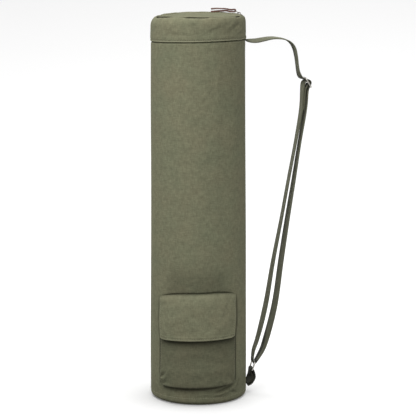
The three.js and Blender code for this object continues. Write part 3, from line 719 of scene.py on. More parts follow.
def add_node(tree, kind, inputs=None, out=0, **settings):
    """Adds a node with its settings, and links or sets its inputs. An input is named by its
    title or its number, and its value is a socket to link from or a plain value. Returns the
    output asked for, or the node itself where out is None."""
    node = tree.nodes.new(kind)
    for name, value in settings.items():
        setattr(node, name, value)
    for name, value in (inputs or {}).items():
        if isinstance(value, bpy.types.NodeSocket):
            tree.links.new(value, node.inputs[name])
        else:
            node.inputs[name].default_value = value
    return node if out is None else node.outputs[out]


def rgba(colour):
    return (*colour, 1.0)


def start_material(name):
    """An empty node material, what adds nodes to it, its place on the cloth in metres, and
    its place on the bag in metres."""
    material = bpy.data.materials.new(name)
    material.use_nodes = True
    material.node_tree.nodes.clear()
    add = functools.partial(add_node, material.node_tree)
    cloth = add("ShaderNodeUVMap", uv_map="weave")
    return material, add, cloth, add("ShaderNodeTexCoord", out="Object")


def end_material(add, **inputs):
    """A Principled shader with these inputs, joined to the material's output."""
    named = {name.replace("_", " "): value for name, value in inputs.items()}
    shader = add("ShaderNodeBsdfPrincipled", named)
    add("ShaderNodeOutputMaterial", {"Surface": shader}, out=None)


def worn_and_painted_cloth(add, colour, looks):
    """A cloth's colour, paler where worn and with painted highlight, then darker with painted shade.
    """
    for mark, tone in (("edge_wear", looks.canvas_worn), ("seam_shade", looks.canvas_seam)):
        share = add("ShaderNodeAttribute", out="Fac", attribute_name=mark)
        colour = add("ShaderNodeMix", {0: share, 6: colour, 7: rgba(tone)}, **MIX)
    return colour


def crossed_waves(add, cloth, paces, operation):
    """Two sine waves, across and along the cloth, put together by a sum or a product."""
    split = add("ShaderNodeSeparateXYZ", {"Vector": cloth}, out=None)
    waves = {}
    for axis, pace in enumerate(paces):
        turned = add("ShaderNodeMath", {0: split.outputs[axis], 1: pace}, operation="MULTIPLY")
        waves[axis] = add("ShaderNodeMath", {0: turned}, operation="SINE")
    return add("ShaderNodeMath", waves, operation=operation)


def canvas_material(looks):
    """Washed cotton canvas, a heavy plain weave of uneven spun yarn. The eye gets a matte
    face with slubs along both threads, soft cloudy fading, painted shade in seams, recesses
    and shadowed places, and edges paler where worn and with painted highlight."""
    material, add, cloth, place = start_material("washed_cotton_canvas")
    # Slubs: yarn 0.6 mm across, drawn 1.5 mm wide and 10 mm long so that they show.
    yarns = {}
    for axis, scale in enumerate([(1 / 0.0015, 1 / 0.010, 1), (1 / 0.012, 1 / 0.0015, 1)]):
        run = add("ShaderNodeMapping", {"Vector": cloth, "Scale": scale})
        yarns[axis] = add(
            "ShaderNodeTexNoise", {"Vector": run, "Scale": 1.0, "Detail": 2.0, "Roughness": 0.6}
        )
    slub = add("ShaderNodeMath", yarns, operation="ADD")
    # The weave itself: crossing threads at the looks' spacing, over and under by turns.
    weave = crossed_waves(add, cloth, [math.pi / looks.thread_spacing] * 2, "MULTIPLY")
    # Fading in clouds about 45 mm across, a finer mottle about 7 mm across, and crumples.
    cloud, mottle, crumple = (
        add("ShaderNodeTexNoise", {"Vector": place, "Scale": s, "Detail": d, "Roughness": r})
        for s, d, r in ((22.0, 3.0, 0.55), (140.0, 2.0, 0.6), (38.0, 3.0, 0.5))
    )
    fading_share = add("ShaderNodeMapRange", {"Value": cloud, "From Min": 0.2, "From Max": 0.8})
    faded = {0: fading_share, 6: rgba(looks.canvas_warm), 7: rgba(looks.canvas_cool)}
    grain = add("ShaderNodeMath", {0: slub, 1: mottle}, operation="ADD")
    darkest, lightest = 1.0 - looks.slub_depth, 1.0 + looks.slub_depth
    light = {"From Min": 1.1, "From Max": 1.9, "To Min": darkest, "To Max": lightest}
    light = add("ShaderNodeMapRange", {"Value": grain, **light})
    faded = add("ShaderNodeMix", faded, **MIX)
    threads = add("ShaderNodeHueSaturation", {"Value": light, "Color": faded})
    rough = {"From Min": 1.0, "From Max": 2.0, "To Min": 0.86, "To Max": 0.98}
    normal = add("ShaderNodeBump", {"Height": crumple, "Strength": 0.6, "Distance": 0.003})
    for height, strength, deep in ((slub, 0.6, 0.0004), (weave, 0.5, 0.00012)):
        face = {"Height": height, "Strength": strength, "Distance": deep, "Normal": normal}
        normal = add("ShaderNodeBump", face)
    end_material(
        add,
        Base_Color=worn_and_painted_cloth(add, threads, looks),
        Roughness=add("ShaderNodeMapRange", {"Value": grain, **rough}),
        Normal=normal,
        IOR=1.45,
        Specular_IOR_Level=0.2,
        Sheen_Weight=0.12,
        Sheen_Roughness=0.5,
        Sheen_Tint=rgba(linear("#c9c7ad")),
    )
    return material


def webbing_material(looks):
    """Woven cotton webbing with ribs across its length. The eye gets fine cross ribs, a
    slightly mottled matte face, strips paler where worn and with painted highlight, and
    painted shade where it lies in shadow."""
    material, add, cloth, place = start_material("cotton_webbing")
    # Warp cords every 1.1 mm across, and ribs every 1.5 mm along.
    rib = crossed_waves(add, cloth, [2 * math.pi / 0.0011, 2 * math.pi / 0.0015], "ADD")
    run = add("ShaderNodeMapping", {"Vector": cloth, "Scale": (900.0, 90.0, 1.0)})
    yarn = add("ShaderNodeTexNoise", {"Vector": run, "Scale": 1.0, "Detail": 2.0})
    cloud = add("ShaderNodeTexNoise", {"Vector": place, "Scale": 60.0, "Detail": 3.0})
    base = {0: cloud, 6: rgba(looks.webbing_dark), 7: rgba(looks.webbing_light)}
    base = add("ShaderNodeMix", base, **MIX)
    light = {"From Min": 0.3, "From Max": 0.7, "To Min": 0.86, "To Max": 1.12}
    light = add("ShaderNodeMapRange", {"Value": yarn, **light})
    mixed = add("ShaderNodeHueSaturation", {"Value": light, "Color": base})
    end_material(
        add,
        Base_Color=worn_and_painted_cloth(add, mixed, looks),
        Roughness=add("ShaderNodeMapRange", {"Value": yarn, "To Min": 0.78, "To Max": 0.95}),
        Normal=add("ShaderNodeBump", {"Height": rib, "Strength": 0.6, "Distance": 0.0002}),
        IOR=1.45,
        Specular_IOR_Level=0.25,
        Sheen_Weight=0.1,
    )
    return material


def thread_material(looks):
    """Spun cotton sewing thread, two plies twisted together. The eye gets small matte
    stitches, a little paler than the cloth."""
    material, add, _, place = start_material("cotton_thread")
    ply = {"Vector": place, "Scale": 900.0, "Distortion": 1.5}
    ply = add("ShaderNodeTexWave", ply, out="Fac")
    colour = {0: ply, 6: rgba(looks.thread), 7: rgba(looks.canvas_worn)}
    end_material(
        add,
        Base_Color=add("ShaderNodeMix", colour, **MIX),
        Roughness=add("ShaderNodeMapRange", {"Value": ply, "To Min": 0.7, "To Max": 0.85}),
        Normal=add("ShaderNodeBump", {"Height": ply, "Strength": 0.4, "Distance": 0.0001}),
        IOR=1.5,
    )
    return material


def tape_material(looks):
    """Woven zip tape, a fine cotton twill. The eye gets slanting ribs on a dark matte band."""
    material, add, cloth, _ = start_material("twill_zip_tape")
    turned = add("ShaderNodeMapping", {"Vector": cloth, "Rotation": (0, 0, math.radians(62))})
    # Twill lines 0.8 mm apart, drawn wider so that they show.
    lines = {"Vector": turned, "Scale": 1 / (0.0012 * 20) * 6.4, "Distortion": 0.6}
    lines = add("ShaderNodeTexWave", lines, out="Fac")
    colour = {0: lines, 6: rgba(looks.tape_dark), 7: rgba(looks.tape_light)}
    end_material(
        add,
        Base_Color=add("ShaderNodeMix", colour, **MIX),
        Roughness=add("ShaderNodeMapRange", {"Value": lines, "To Min": 0.75, "To Max": 0.9}),
        Normal=add("ShaderNodeBump", {"Height": lines, "Strength": 0.5, "Distance": 0.00015}),
        IOR=1.45,
    )
    return material


def leather_material(looks):
    """Waxed leather lace, cut from a drum-dyed hide. The eye gets a dark brown face with
    fine grain, a soft gloss and paler scuffs along its edges."""
    material, add, _, place = start_material("waxed_leather")
    # Hide grain about 0.5 mm across, drawn 0.9 mm across.
    grain = {"Vector": place, "Scale": 1100.0}
    grain = add("ShaderNodeTexVoronoi", grain, out="Distance", feature="F1")
    cloud = add("ShaderNodeTexNoise", {"Vector": place, "Scale": 240.0, "Detail": 3.0})
    share = add("ShaderNodeMapRange", {"Value": cloud, "From Min": 0.35, "From Max": 0.7})
    colour = {0: share, 6: rgba(looks.leather_dark), 7: rgba(looks.leather_light)}
    colour = add("ShaderNodeMix", colour, **MIX)
    wear_and_highlight = add("ShaderNodeAttribute", out="Fac", attribute_name="edge_wear")
    scuffs = {0: wear_and_highlight, 6: colour, 7: rgba(linear("#8a6152"))}
    end_material(
        add,
        Base_Color=add("ShaderNodeMix", scuffs, **MIX),
        Roughness=add("ShaderNodeMapRange", {"Value": cloud, "To Min": 0.42, "To Max": 0.66}),
        Normal=add("ShaderNodeBump", {"Height": grain, "Strength": 0.5, "Distance": 0.0002}),
        IOR=1.5,
    )
    return material


def metal_material(looks, name, colour, low, high):
    """Nickel-plated steel or zinc, polished and then handled. The eye gets a warm grey
    metal with cloudy dull patches and fine rubbed marks."""
    material, add, _, place = start_material(name)
    cloud = add("ShaderNodeTexNoise", {"Vector": place, "Scale": 260.0, "Detail": 4.0})
    share = add("ShaderNodeMapRange", {"Value": cloud, "From Min": 0.4, "From Max": 0.7})
    plating = {0: share, 6: rgba(getattr(looks, colour)), 7: rgba(looks.nickel_dull)}
    run = add("ShaderNodeMapping", {"Vector": place, "Scale": (300.0, 300.0, 2400.0)})
    rubbed = add("ShaderNodeTexNoise", {"Vector": run, "Scale": 1.0, "Detail": 2.0})
    end_material(
        add,
        Base_Color=add("ShaderNodeMix", plating, **MIX),
        Roughness=add("ShaderNodeMapRange", {"Value": cloud, "To Min": low, "To Max": high}),
        Normal=add("ShaderNodeBump", {"Height": rubbed, "Strength": 0.15, "Distance": 0.0001}),
        Metallic=1.0,
    )
    return material


def paper_material(looks):
    """Seamless white studio paper, smooth and matte."""
    material, add, _, place = start_material("studio_paper")
    pulp = add("ShaderNodeTexNoise", {"Vector": place, "Scale": 90.0, "Detail": 3.0})
    end_material(
        add,
        Base_Color=rgba(looks.paper),
        Roughness=add("ShaderNodeMapRange", {"Value": pulp, "To Min": 0.92, "To Max": 0.98}),
        Specular_IOR_Level=0.0,
        Emission_Color=(1, 1, 1, 1),
        Emission_Strength=bpy.context.scene.mat_bag_stage.table_glow,
    )
    return material


MAKERS = {
    "canvas": (canvas_material,),
    "webbing": (webbing_material,),
    "thread": (thread_material,),
    "tape": (tape_material,),
    "leather": (leather_material,),
    "nickel": (metal_material, "nickel_plated_steel", "nickel", 0.2, 0.4),
    "zip_nickel": (metal_material, "aged_nickel_zip", "zip_metal", 0.28, 0.5),
    "paper": (paper_material,),
}


def material_for(kind):
    """The material of a kind, made from the scene's looks the first time it is asked for."""
    looks = bpy.context.scene.mat_bag_looks
    made = bpy.data.materials.get(looks.get(f"made_{kind}", ""))
    if made is None:
        maker, *details = MAKERS[kind]
        made = maker(looks, *details)
        looks[f"made_{kind}"] = made.name
    return made


# Settings


def colour_setting(name, description, code):
    return bpy.props.FloatVectorProperty(
        name=name,
        description=description,
        default=linear(code),
        subtype="COLOR",
        size=3,
        min=0.0,
        max=1.0,
    )


def setting(name, description, default, low, high, **kind):
    return bpy.props.FloatProperty(
        name=name, description=description, default=default, min=low, max=high, **kind
    )


LENGTH = {"unit": "LENGTH", "precision": 5}
POWER = {"unit": "POWER"}
FACTOR = {"subtype": "FACTOR"}


class MatBagLooks(bpy.types.PropertyGroup):
    """Colours and fine sizes of the bag's materials."""

    canvas_warm: colour_setting("Canvas, warm", "Browner fading of the canvas", "#77745d")
    canvas_cool: colour_setting("Canvas, cool", "Greener fading of the canvas", "#70735c")
    # A paler canvas, for edges that are worn and carry painted highlight, and for the thread's
    # lighter ply.
    canvas_worn: colour_setting("Canvas, worn", "Rubbed edges of the canvas", "#908f76")
    # The colour of painted shade: seams, recesses, creases and places in shadow.
    canvas_seam: colour_setting("Canvas, seams", "Dark inside of seams", "#2c2c21")
    webbing_light: colour_setting("Webbing, light", "Lighter webbing yarn", "#8a8b74")
    webbing_dark: colour_setting("Webbing, dark", "Darker webbing yarn", "#6e6f58")
    thread: colour_setting("Thread", "Sewing thread", "#7d7c63")
    tape_light: colour_setting("Zip tape, light", "Ribs of the zip tape", "#5f5e49")
    tape_dark: colour_setting("Zip tape, dark", "Hollows of the zip tape", "#45442f")
    leather_light: colour_setting("Leather, light", "Lighter leather", "#402422")
    leather_dark: colour_setting("Leather, dark", "Darker leather", "#200f0f")
    nickel: colour_setting("Nickel", "Plating of the strap's fittings", "#d2cfc8")
    nickel_dull: colour_setting("Nickel, dull", "Handled patches of the plating", "#8d8a82")
    zip_metal: colour_setting("Zip metal", "Teeth and slider of the zip", "#77736a")
    paper: colour_setting("Floor", "White studio paper", "#f4f4f4")
    thread_spacing: setting(
        "Thread spacing",
        "Spacing of the canvas threads, wider than real so that it shows",
        0.0011, 0.0003, 0.01, **LENGTH,
    )
    slub_depth: setting(
        "Slub depth", "How much the uneven yarn varies in lightness", 0.22, 0.0, 0.5, **FACTOR
    )


class MatBagSizes(bpy.types.PropertyGroup):
    """Sizes of the sewn detail."""

    stitch_length: setting(
        "Stitch length", "Length of one stitch on the cloth", 0.0023, 0.001, 0.006, **LENGTH
    )
    stitch_pitch: setting(
        "Stitch pitch", "Distance from one stitch to the next", 0.0031, 0.0015, 0.008, **LENGTH
    )
    thread_radius: setting(
        "Thread radius", "Radius of the sewing thread", 0.00034, 0.0001, 0.001, **LENGTH
    )
    webbing_step: setting(
        "Webbing step", "Longest step between two sections of the webbing",
        0.0024, 0.001, 0.01, **LENGTH,
    )


class MatBagStage(bpy.types.PropertyGroup):
    """The light of the stage."""

    sky_high: setting(
        "Light from above", "Strength of the soft light from straight above",
        1.0, 0.0, 4.0, **FACTOR,
    )
    sky_level: setting(
        "Light from the sides", "Strength of the soft light from level with the bag",
        0.2, 0.0, 4.0, **FACTOR,
    )
    sky_low: setting(
        "Light from below", "Strength of the soft light from straight below",
        0.1, 0.0, 4.0, **FACTOR,
    )
    table_glow: setting(
        "Table glow", "How strongly the white table is lit from beneath", 0.1, 0.0, 2.0, **FACTOR
    )
    table_power: setting(
        "Table power", "Power of the wide light above the table", 100.0, 0.0, 1000.0, **POWER
    )
    key_power: setting(
        "Key power", "Power of the large soft light at the upper left", 26.5, 0.0, 1000.0, **POWER
    )
    bounce_power: setting(
        "Bounce power", "Power of the small light low on the right, as from the table",
        0.5, 0.0, 10.0, **POWER,
    )
    fill_power: setting(
        "Fill power", "Power of the wide soft light in front and above",
        31.5, 0.0, 1000.0, **POWER,
    )


# Body


def body_surface(azimuth, level):
    """The outside of the tube above its rounded bottom edge, at heights slanted at the top
    with the band's edge. The radius is the plain one plus creases, upright soft folds,
    puckers below the band and above the foot, a felled back seam, and grooves along the
    flap's crest and the band. It tucks in under the band."""
    angle = np.radians(azimuth)
    z = level + BAND_SLANT * np.sin(angle) * ease(level, 590, 636)
    radius = body_radius(azimuth, z)
    calm = ease(z, 8, 40)
    radius += 0.26 * calm * ripples(angle, (9, 14, 23), 0.4 + z * 0.0016)
    radius += 0.10 * calm * ripples(angle, (31, 43, 57), 2.1 - z * 0.004)
    radius += creased(BODY_CREASES, azimuth, z)
    below = band_edge(azimuth) - z
    radius += 0.35 * bell(below - 9, 9) * ripples(angle, (37, 52, 71), 1.0)
    radius += 0.3 * bell(z - 17, 9) * ripples(angle, (33, 49, 64), 0.2)
    crest, share = flap_crest(azimuth)
    radius -= 1.3 * bell(z - crest - 0.2, 1.7) * (1 - ease(share, 0.98, 1.06))
    radius -= 3.2 * fading(z - crest, 17) * ease(z, 150, 190) * (1 - ease(share, 0.7, 1.3))
    seam = from_seam(azimuth)
    radius += 0.8 * (1 - ease(seam, 4.2, 5.2)) - 0.35 * bell(seam - 3.2, 0.6)
    tuck = ease(-below, -4.6, 1.0)
    radius = radius * (1 - tuck) + (TUCKED_RADIUS + fold_out(azimuth, z)) * tuck
    return around(azimuth, radius, z)


def wrapped(azimuth, radius, way):
    """The cloth place of a ring's grid: the way round at a radius, and the way up."""
    closed = np.append(azimuth, azimuth[0] + 360)
    return np.stack(np.meshgrid(radius * np.radians(closed), way), axis=-1)


def build_body():
    """The canvas tube with its rounded bottom edge, base seam and upright back seam."""
    # Columns stand closer together beside the back seam, and rows by the foot, the flap's
    # crest and the band.
    beside_seam = np.array([2.2, 2.8, 3.1, 3.4, 4.2])
    azimuth = np.unique(
        np.concatenate(
            [np.linspace(-150, 210, 229)[:-1], SEAM_AZIMUTH - beside_seam, SEAM_AZIMUTH + beside_seam]
        )
    )
    runs = [(BASE_ROUNDING, 62, 44), (66, 186, 30), (188, 214, 30), (218, 628, 62), (631, 640, 8)]
    runs += [(641, 647, 10), (649, BAND_EDGE + BAND_LAP, 4)]
    level = np.unique(np.concatenate([np.linspace(*run) for run in runs]))
    side = body_surface(azimuth, level[:, None])
    # The bottom edge: a quarter circle from the floor up, with a sunk seam line on it.
    roll = np.radians(np.linspace(0, 90, 14))[:-1, None]
    foot = np.linalg.norm(side[0, :, :2], axis=1) - BASE_ROUNDING
    seam_line = 0.9 * bell(np.degrees(roll) - FOOT_SEAM, 8)
    reach = BASE_ROUNDING - seam_line
    corner = around(azimuth, foot + reach * np.sin(roll), BASE_ROUNDING - reach * np.cos(roll))
    way = np.concatenate([BASE_ROUNDING * (roll[:, 0] - math.pi / 2) + BASE_ROUNDING, level])
    z = side[..., 2]
    crest, share = flap_crest(azimuth)
    seam = from_seam(azimuth)
    # Painted shade: the cloth is darker towards the foot, in the hollow where it dips above the flap,
    # and in the troughs of creases.
    dim = 0.05 * (1 - ease(z, 60, 420)) + 0.17 * (1 - ease(z, 20, 64))
    dim += 0.28 * bell(z - crest - 20, 26) * (1 - ease(share, 0.5, 1.05))
    dim += 0.26 * np.clip(-creased(BODY_CREASES, azimuth, z) - 0.3, 0, 1)
    # Painted shade in the groove at the flap's crest, the shadow line under the band's hem and beside
    # the back seam, and painted shadows beside and under the pocket.
    side_shade = highest(
        0.85 * bell(z - crest - 0.4, 1.3) * (1 - ease(share, 0.98, 1.05)),
        0.9 * (1 - ease(band_edge(azimuth) - z, 0.6, 3.4)),
        0.5 * bell(seam - 5.0, 0.7),
        pocket_line(azimuth, z),
        dim,
    )
    # Painted shade on the rounded foot, darkest along its sunk seam line.
    corner_shade = np.broadcast_to(np.maximum(0.16, seam_line), corner.shape[:2])
    side_wear = np.broadcast_to(0.25 * bell(seam - 4.2, 0.8), z.shape)
    add_piece(
        "body_canvas",
        shell_of(np.vstack([corner, side]), wrapped(azimuth, POCKET_RADIUS, way), ring=True),
        "canvas",
        ["bag_body"],
        np.vstack([corner_shade, side_shade]),
        np.vstack([np.zeros(corner.shape[:2]), side_wear]),
        wall=(1.6, 0.5),
    )

    # The base panel: rings of the body's foot drawn in to the middle, a little bowed up.
    bow = 0.15
    shares = np.array([1.0, 0.94, 0.8, 0.6, 0.4, 0.2, 0.04])[:, None]
    disc = around(azimuth, (foot - GAP) * shares, bow * (1 - shares**2))
    points = np.vstack([disc.reshape(-1, 3), [[0, 0, bow]]])
    middle = len(points) - 1
    last = np.arange(middle - len(azimuth), middle)
    fan = np.stack([last, np.roll(last, -1), np.full_like(last, middle)], axis=1).tolist()
    faces = grid_faces(len(shares), len(azimuth), ring=True).tolist() + fan
    base = {"points": points, "faces": faces, "cloth": points[np.concatenate(faces)][:, :2]}
    add_piece("base_canvas", flipped(base), "canvas", ["base_panel"], wall=(1.8, 0.4))

    height = np.linspace(14, 640, 320)
    turn = np.linspace(-180, 180, 361)
    stitch_turn = math.degrees(SEAM_STITCH / POCKET_RADIUS)
    lines = [SEAM_AZIMUTH - stitch_turn, SEAM_AZIMUTH + stitch_turn]
    paths = [body_surface(np.full_like(height, line), height) for line in lines]
    sew("body_stitches", [*paths, body_surface(turn, np.full_like(turn, 12.5))])


# Band and lid


def band_surface(azimuth, up, roll):
    """The outside of the band. It runs up from its hem, with up from 0 to 1 of the straight
    part, then over an elliptic shoulder with roll from 0 to 90 degrees. Soft creases and
    puckers stand on it, the hem is a little thicker with a rounded edge and a sunk line of
    stitching, and its top rolls down into the lid's seam."""
    seam = lid_seam_radius(azimuth)
    angle = np.radians(azimuth)
    top = LID_HEIGHT - LID_TILT * seam * np.cos(angle)
    shoulder = SHOULDER_TIGHT + (SHOULDER_ROUND - SHOULDER_TIGHT) * ease(-np.sin(angle), 0, 1)
    edge = band_edge(azimuth)
    straight = edge + (top - shoulder - edge) * up
    above = straight - edge
    turned = np.radians(roll)
    detail = creased(BAND_CREASES, azimuth, straight + 6 * np.sin(turned))
    detail += 0.3 * ripples(angle, (11, 19, 29), 0.9 + straight * 0.01)
    detail += 0.35 * bell(above - 11, 7) * ripples(angle, (38, 55, 72), 0.3)
    detail += 0.15 * (1 - ease(above, 8.0, 10.4)) - 0.45 * bell(above - HEM_STITCH, 0.8)
    detail -= 0.5 * bell(above, 0.7)
    radius = BAND_RADIUS + fold_out(azimuth, straight) + detail * (1 - ease(roll, 0, 90))
    r = seam + (radius - seam) * np.cos(turned)
    z = straight + shoulder * np.sin(turned) * (1 - 0.15 * lid_slump(azimuth))
    z += 0.3 * ripples(angle, (41, 58, 77), 2.0) * bell(np.maximum(r - seam, 0) - 5, 5)
    z -= 0.9 * fading(r - seam, 1.6) + 1.7 * seam_gape(azimuth) * fading(r - seam, 4.5)
    return around(azimuth, r, z)


def build_band():
    """The stitched band round the top."""
    azimuth = np.linspace(-150, 210, 241)[:-1]
    rise = np.array([0, 0.4, 0.9, 1.5, 2.0, 2.4, 2.8, 3.3, 4, 5, 6.2, 7.4, 8.2, 8.8, 9.6, 11])
    up = np.concatenate([rise / BAND_STRAIGHT, np.linspace(0.48, 1, 9)])
    roll = np.concatenate([np.linspace(0, 76, 17)[1:], [79, 82, 84.5, 86.5, 88, 89.2, 90]])
    up, roll = np.append(up, np.ones_like(roll)), np.append(np.zeros_like(up), roll)
    points = band_surface(azimuth, up[:, None], roll[:, None])
    way = lengths_along(points[:, 60])
    above = way[:, None]
    left = way[-1] - above
    # Painted shade in the sunk hem stitching and the gaping seam; the hem edge and top roll are
    # painted paler, partly worn.
    stitched = 0.45 * bell(above - HEM_STITCH, 0.7)
    wear_and_highlight = bell(above - 1.1, 1.1) + 0.08 * bell(above - 9.0, 1.2) + 0.2 * bell(left - 4, 2)
    add_piece(
        "band_canvas",
        shell_of(points, wrapped(azimuth, BAND_RADIUS, way), ring=True),
        "canvas",
        ["top_band"],
        highest(stitched, (0.35 + 0.65 * seam_gape(azimuth)) * bell(left, 1.6)),
        wear_and_highlight,
        wall=(1.7, 0.45),
    )
    turn = np.linspace(-180, 180, 481)
    hem = np.full_like(turn, HEM_STITCH / BAND_STRAIGHT)
    sew("band_stitches", [band_surface(turn, hem, np.zeros_like(turn))])


def lid_place(x, y):
    """The distance inward from the lid's seam, the azimuth round its middle, and the distance
    from the edge of the zip's slot."""
    inward = LID_RADIUS - LID_SEAM_GAP - np.hypot(x - LID_SHIFT, y)
    return inward, np.degrees(np.arctan2(x - LID_SHIFT, -y)), np.abs(y) - ZIP_SLOT


def lid_surface(x, y):
    """The outside of the lid: the dome plus soft waves, raised a little where the seam gapes,
    slumped at the left, and rolled down along the round seam and the zip's slot."""
    inward, azimuth, slot = lid_place(x, y)
    slumped = lid_slump(azimuth) * fading(inward, 14)
    wider = 1 + 2.5 / LID_RADIUS * slumped
    gape = seam_gape(azimuth)
    z = lid_top(x, y) - 2.4 * slumped
    z += 0.35 * np.sin(x * 0.11 + 0.6) * np.sin(y * 0.13 + x * 0.03 + 1.2)
    z += 0.3 * ripples(np.radians(azimuth), (41, 57, 77), 0.7) * bell(inward - 5, 5)
    z += 0.2 * gape * bell(inward - 3, 4) - (0.8 + 0.3 * gape) * fading(inward, 1.3)
    z += 0.35 * bell(slot - 2.4, 2.6) - 0.6 * fading(slot, 0.9)
    z -= 0.3 * bell(slot - LID_STITCH, 0.6)
    return points_of(LID_SHIFT + (x - LID_SHIFT) * wider, y * wider, z)


def build_lid():
    """Both halves of the lid, with topstitching beside the zip and round the seam."""
    radius = LID_RADIUS - LID_SEAM_GAP
    end = math.asin((ZIP_SLOT + 1) / radius)
    angle = math.pi / 2 - (math.pi / 2 - end) * spread(121, 1.35)
    near = np.array([0, 0.4, 0.9, 1.6, 2.4, 3.2, 3.9, 4.4, 4.8, 5.4, 6.6])
    far = np.array([0, 0.5, 1.1, 1.9, 3.0, 4.6, 7.0])
    depth = LID_RADIUS - ZIP_SLOT
    shares = np.concatenate([near / depth, np.linspace(0.13, 0.87, 20), 1 - far[::-1] / depth])
    for half, side in (("front", -1), ("back", 1)):
        row = shares[::side, None]
        x = LID_SHIFT + radius * np.cos(angle)
        y = side * (ZIP_SLOT + (radius * np.sin(angle) - ZIP_SLOT) * row)
        points = lid_surface(x, y)
        inward, azimuth, slot = lid_place(x, y)
        gape = seam_gape(azimuth)
        # Painted shade in the gaping seam and along the sunk stitching beside the slot; the folded
        # edges are paler.
        seam = (0.4 + 0.6 * gape) * bell(inward, 1.5 + 0.7 * gape)
        add_piece(
            f"lid_canvas_{half}",
            shell_of(points, points[..., :2]),
            "canvas",
            [f"lid_{half}"],
            highest(seam, 0.4 * bell(slot - LID_STITCH, 0.6)),
            0.4 * bell(slot - 0.8, 1.0) + 0.15 * bell(inward - 4, 2),
            wall=(1.5, 0.4),
        )
    x = np.linspace(-64, 68, 240)
    turn = np.radians(np.linspace(12, 168, 260))
    ring = radius - 3.4
    paths = [lid_surface(x, np.full_like(x, side * (ZIP_SLOT + LID_STITCH))) for side in (-1, 1)]
    for side in (-1, 1):
        paths.append(lid_surface(LID_SHIFT + ring * np.cos(turn), side * ring * np.sin(turn)))
    sew("lid_stitches", paths, [np.tile(UP, (len(path), 1)) for path in paths])


# Zip


def pull_frame(points):
    """Points in the zip slider's own frame, moved onto the slope of the lid at the slider."""
    angle = -math.atan((lid_top(SLIDER_X + 1, 0) - lid_top(SLIDER_X - 1, 0)) / 2)
    x, y, z = np.moveaxis(points, -1, 0)
    height = lid_top(SLIDER_X, 0) - TEETH_SUNK + GAP
    along = SLIDER_X + x * math.cos(angle) + z * math.sin(angle)
    return points_of(along, y, height - x * math.sin(angle) + z * math.cos(angle))


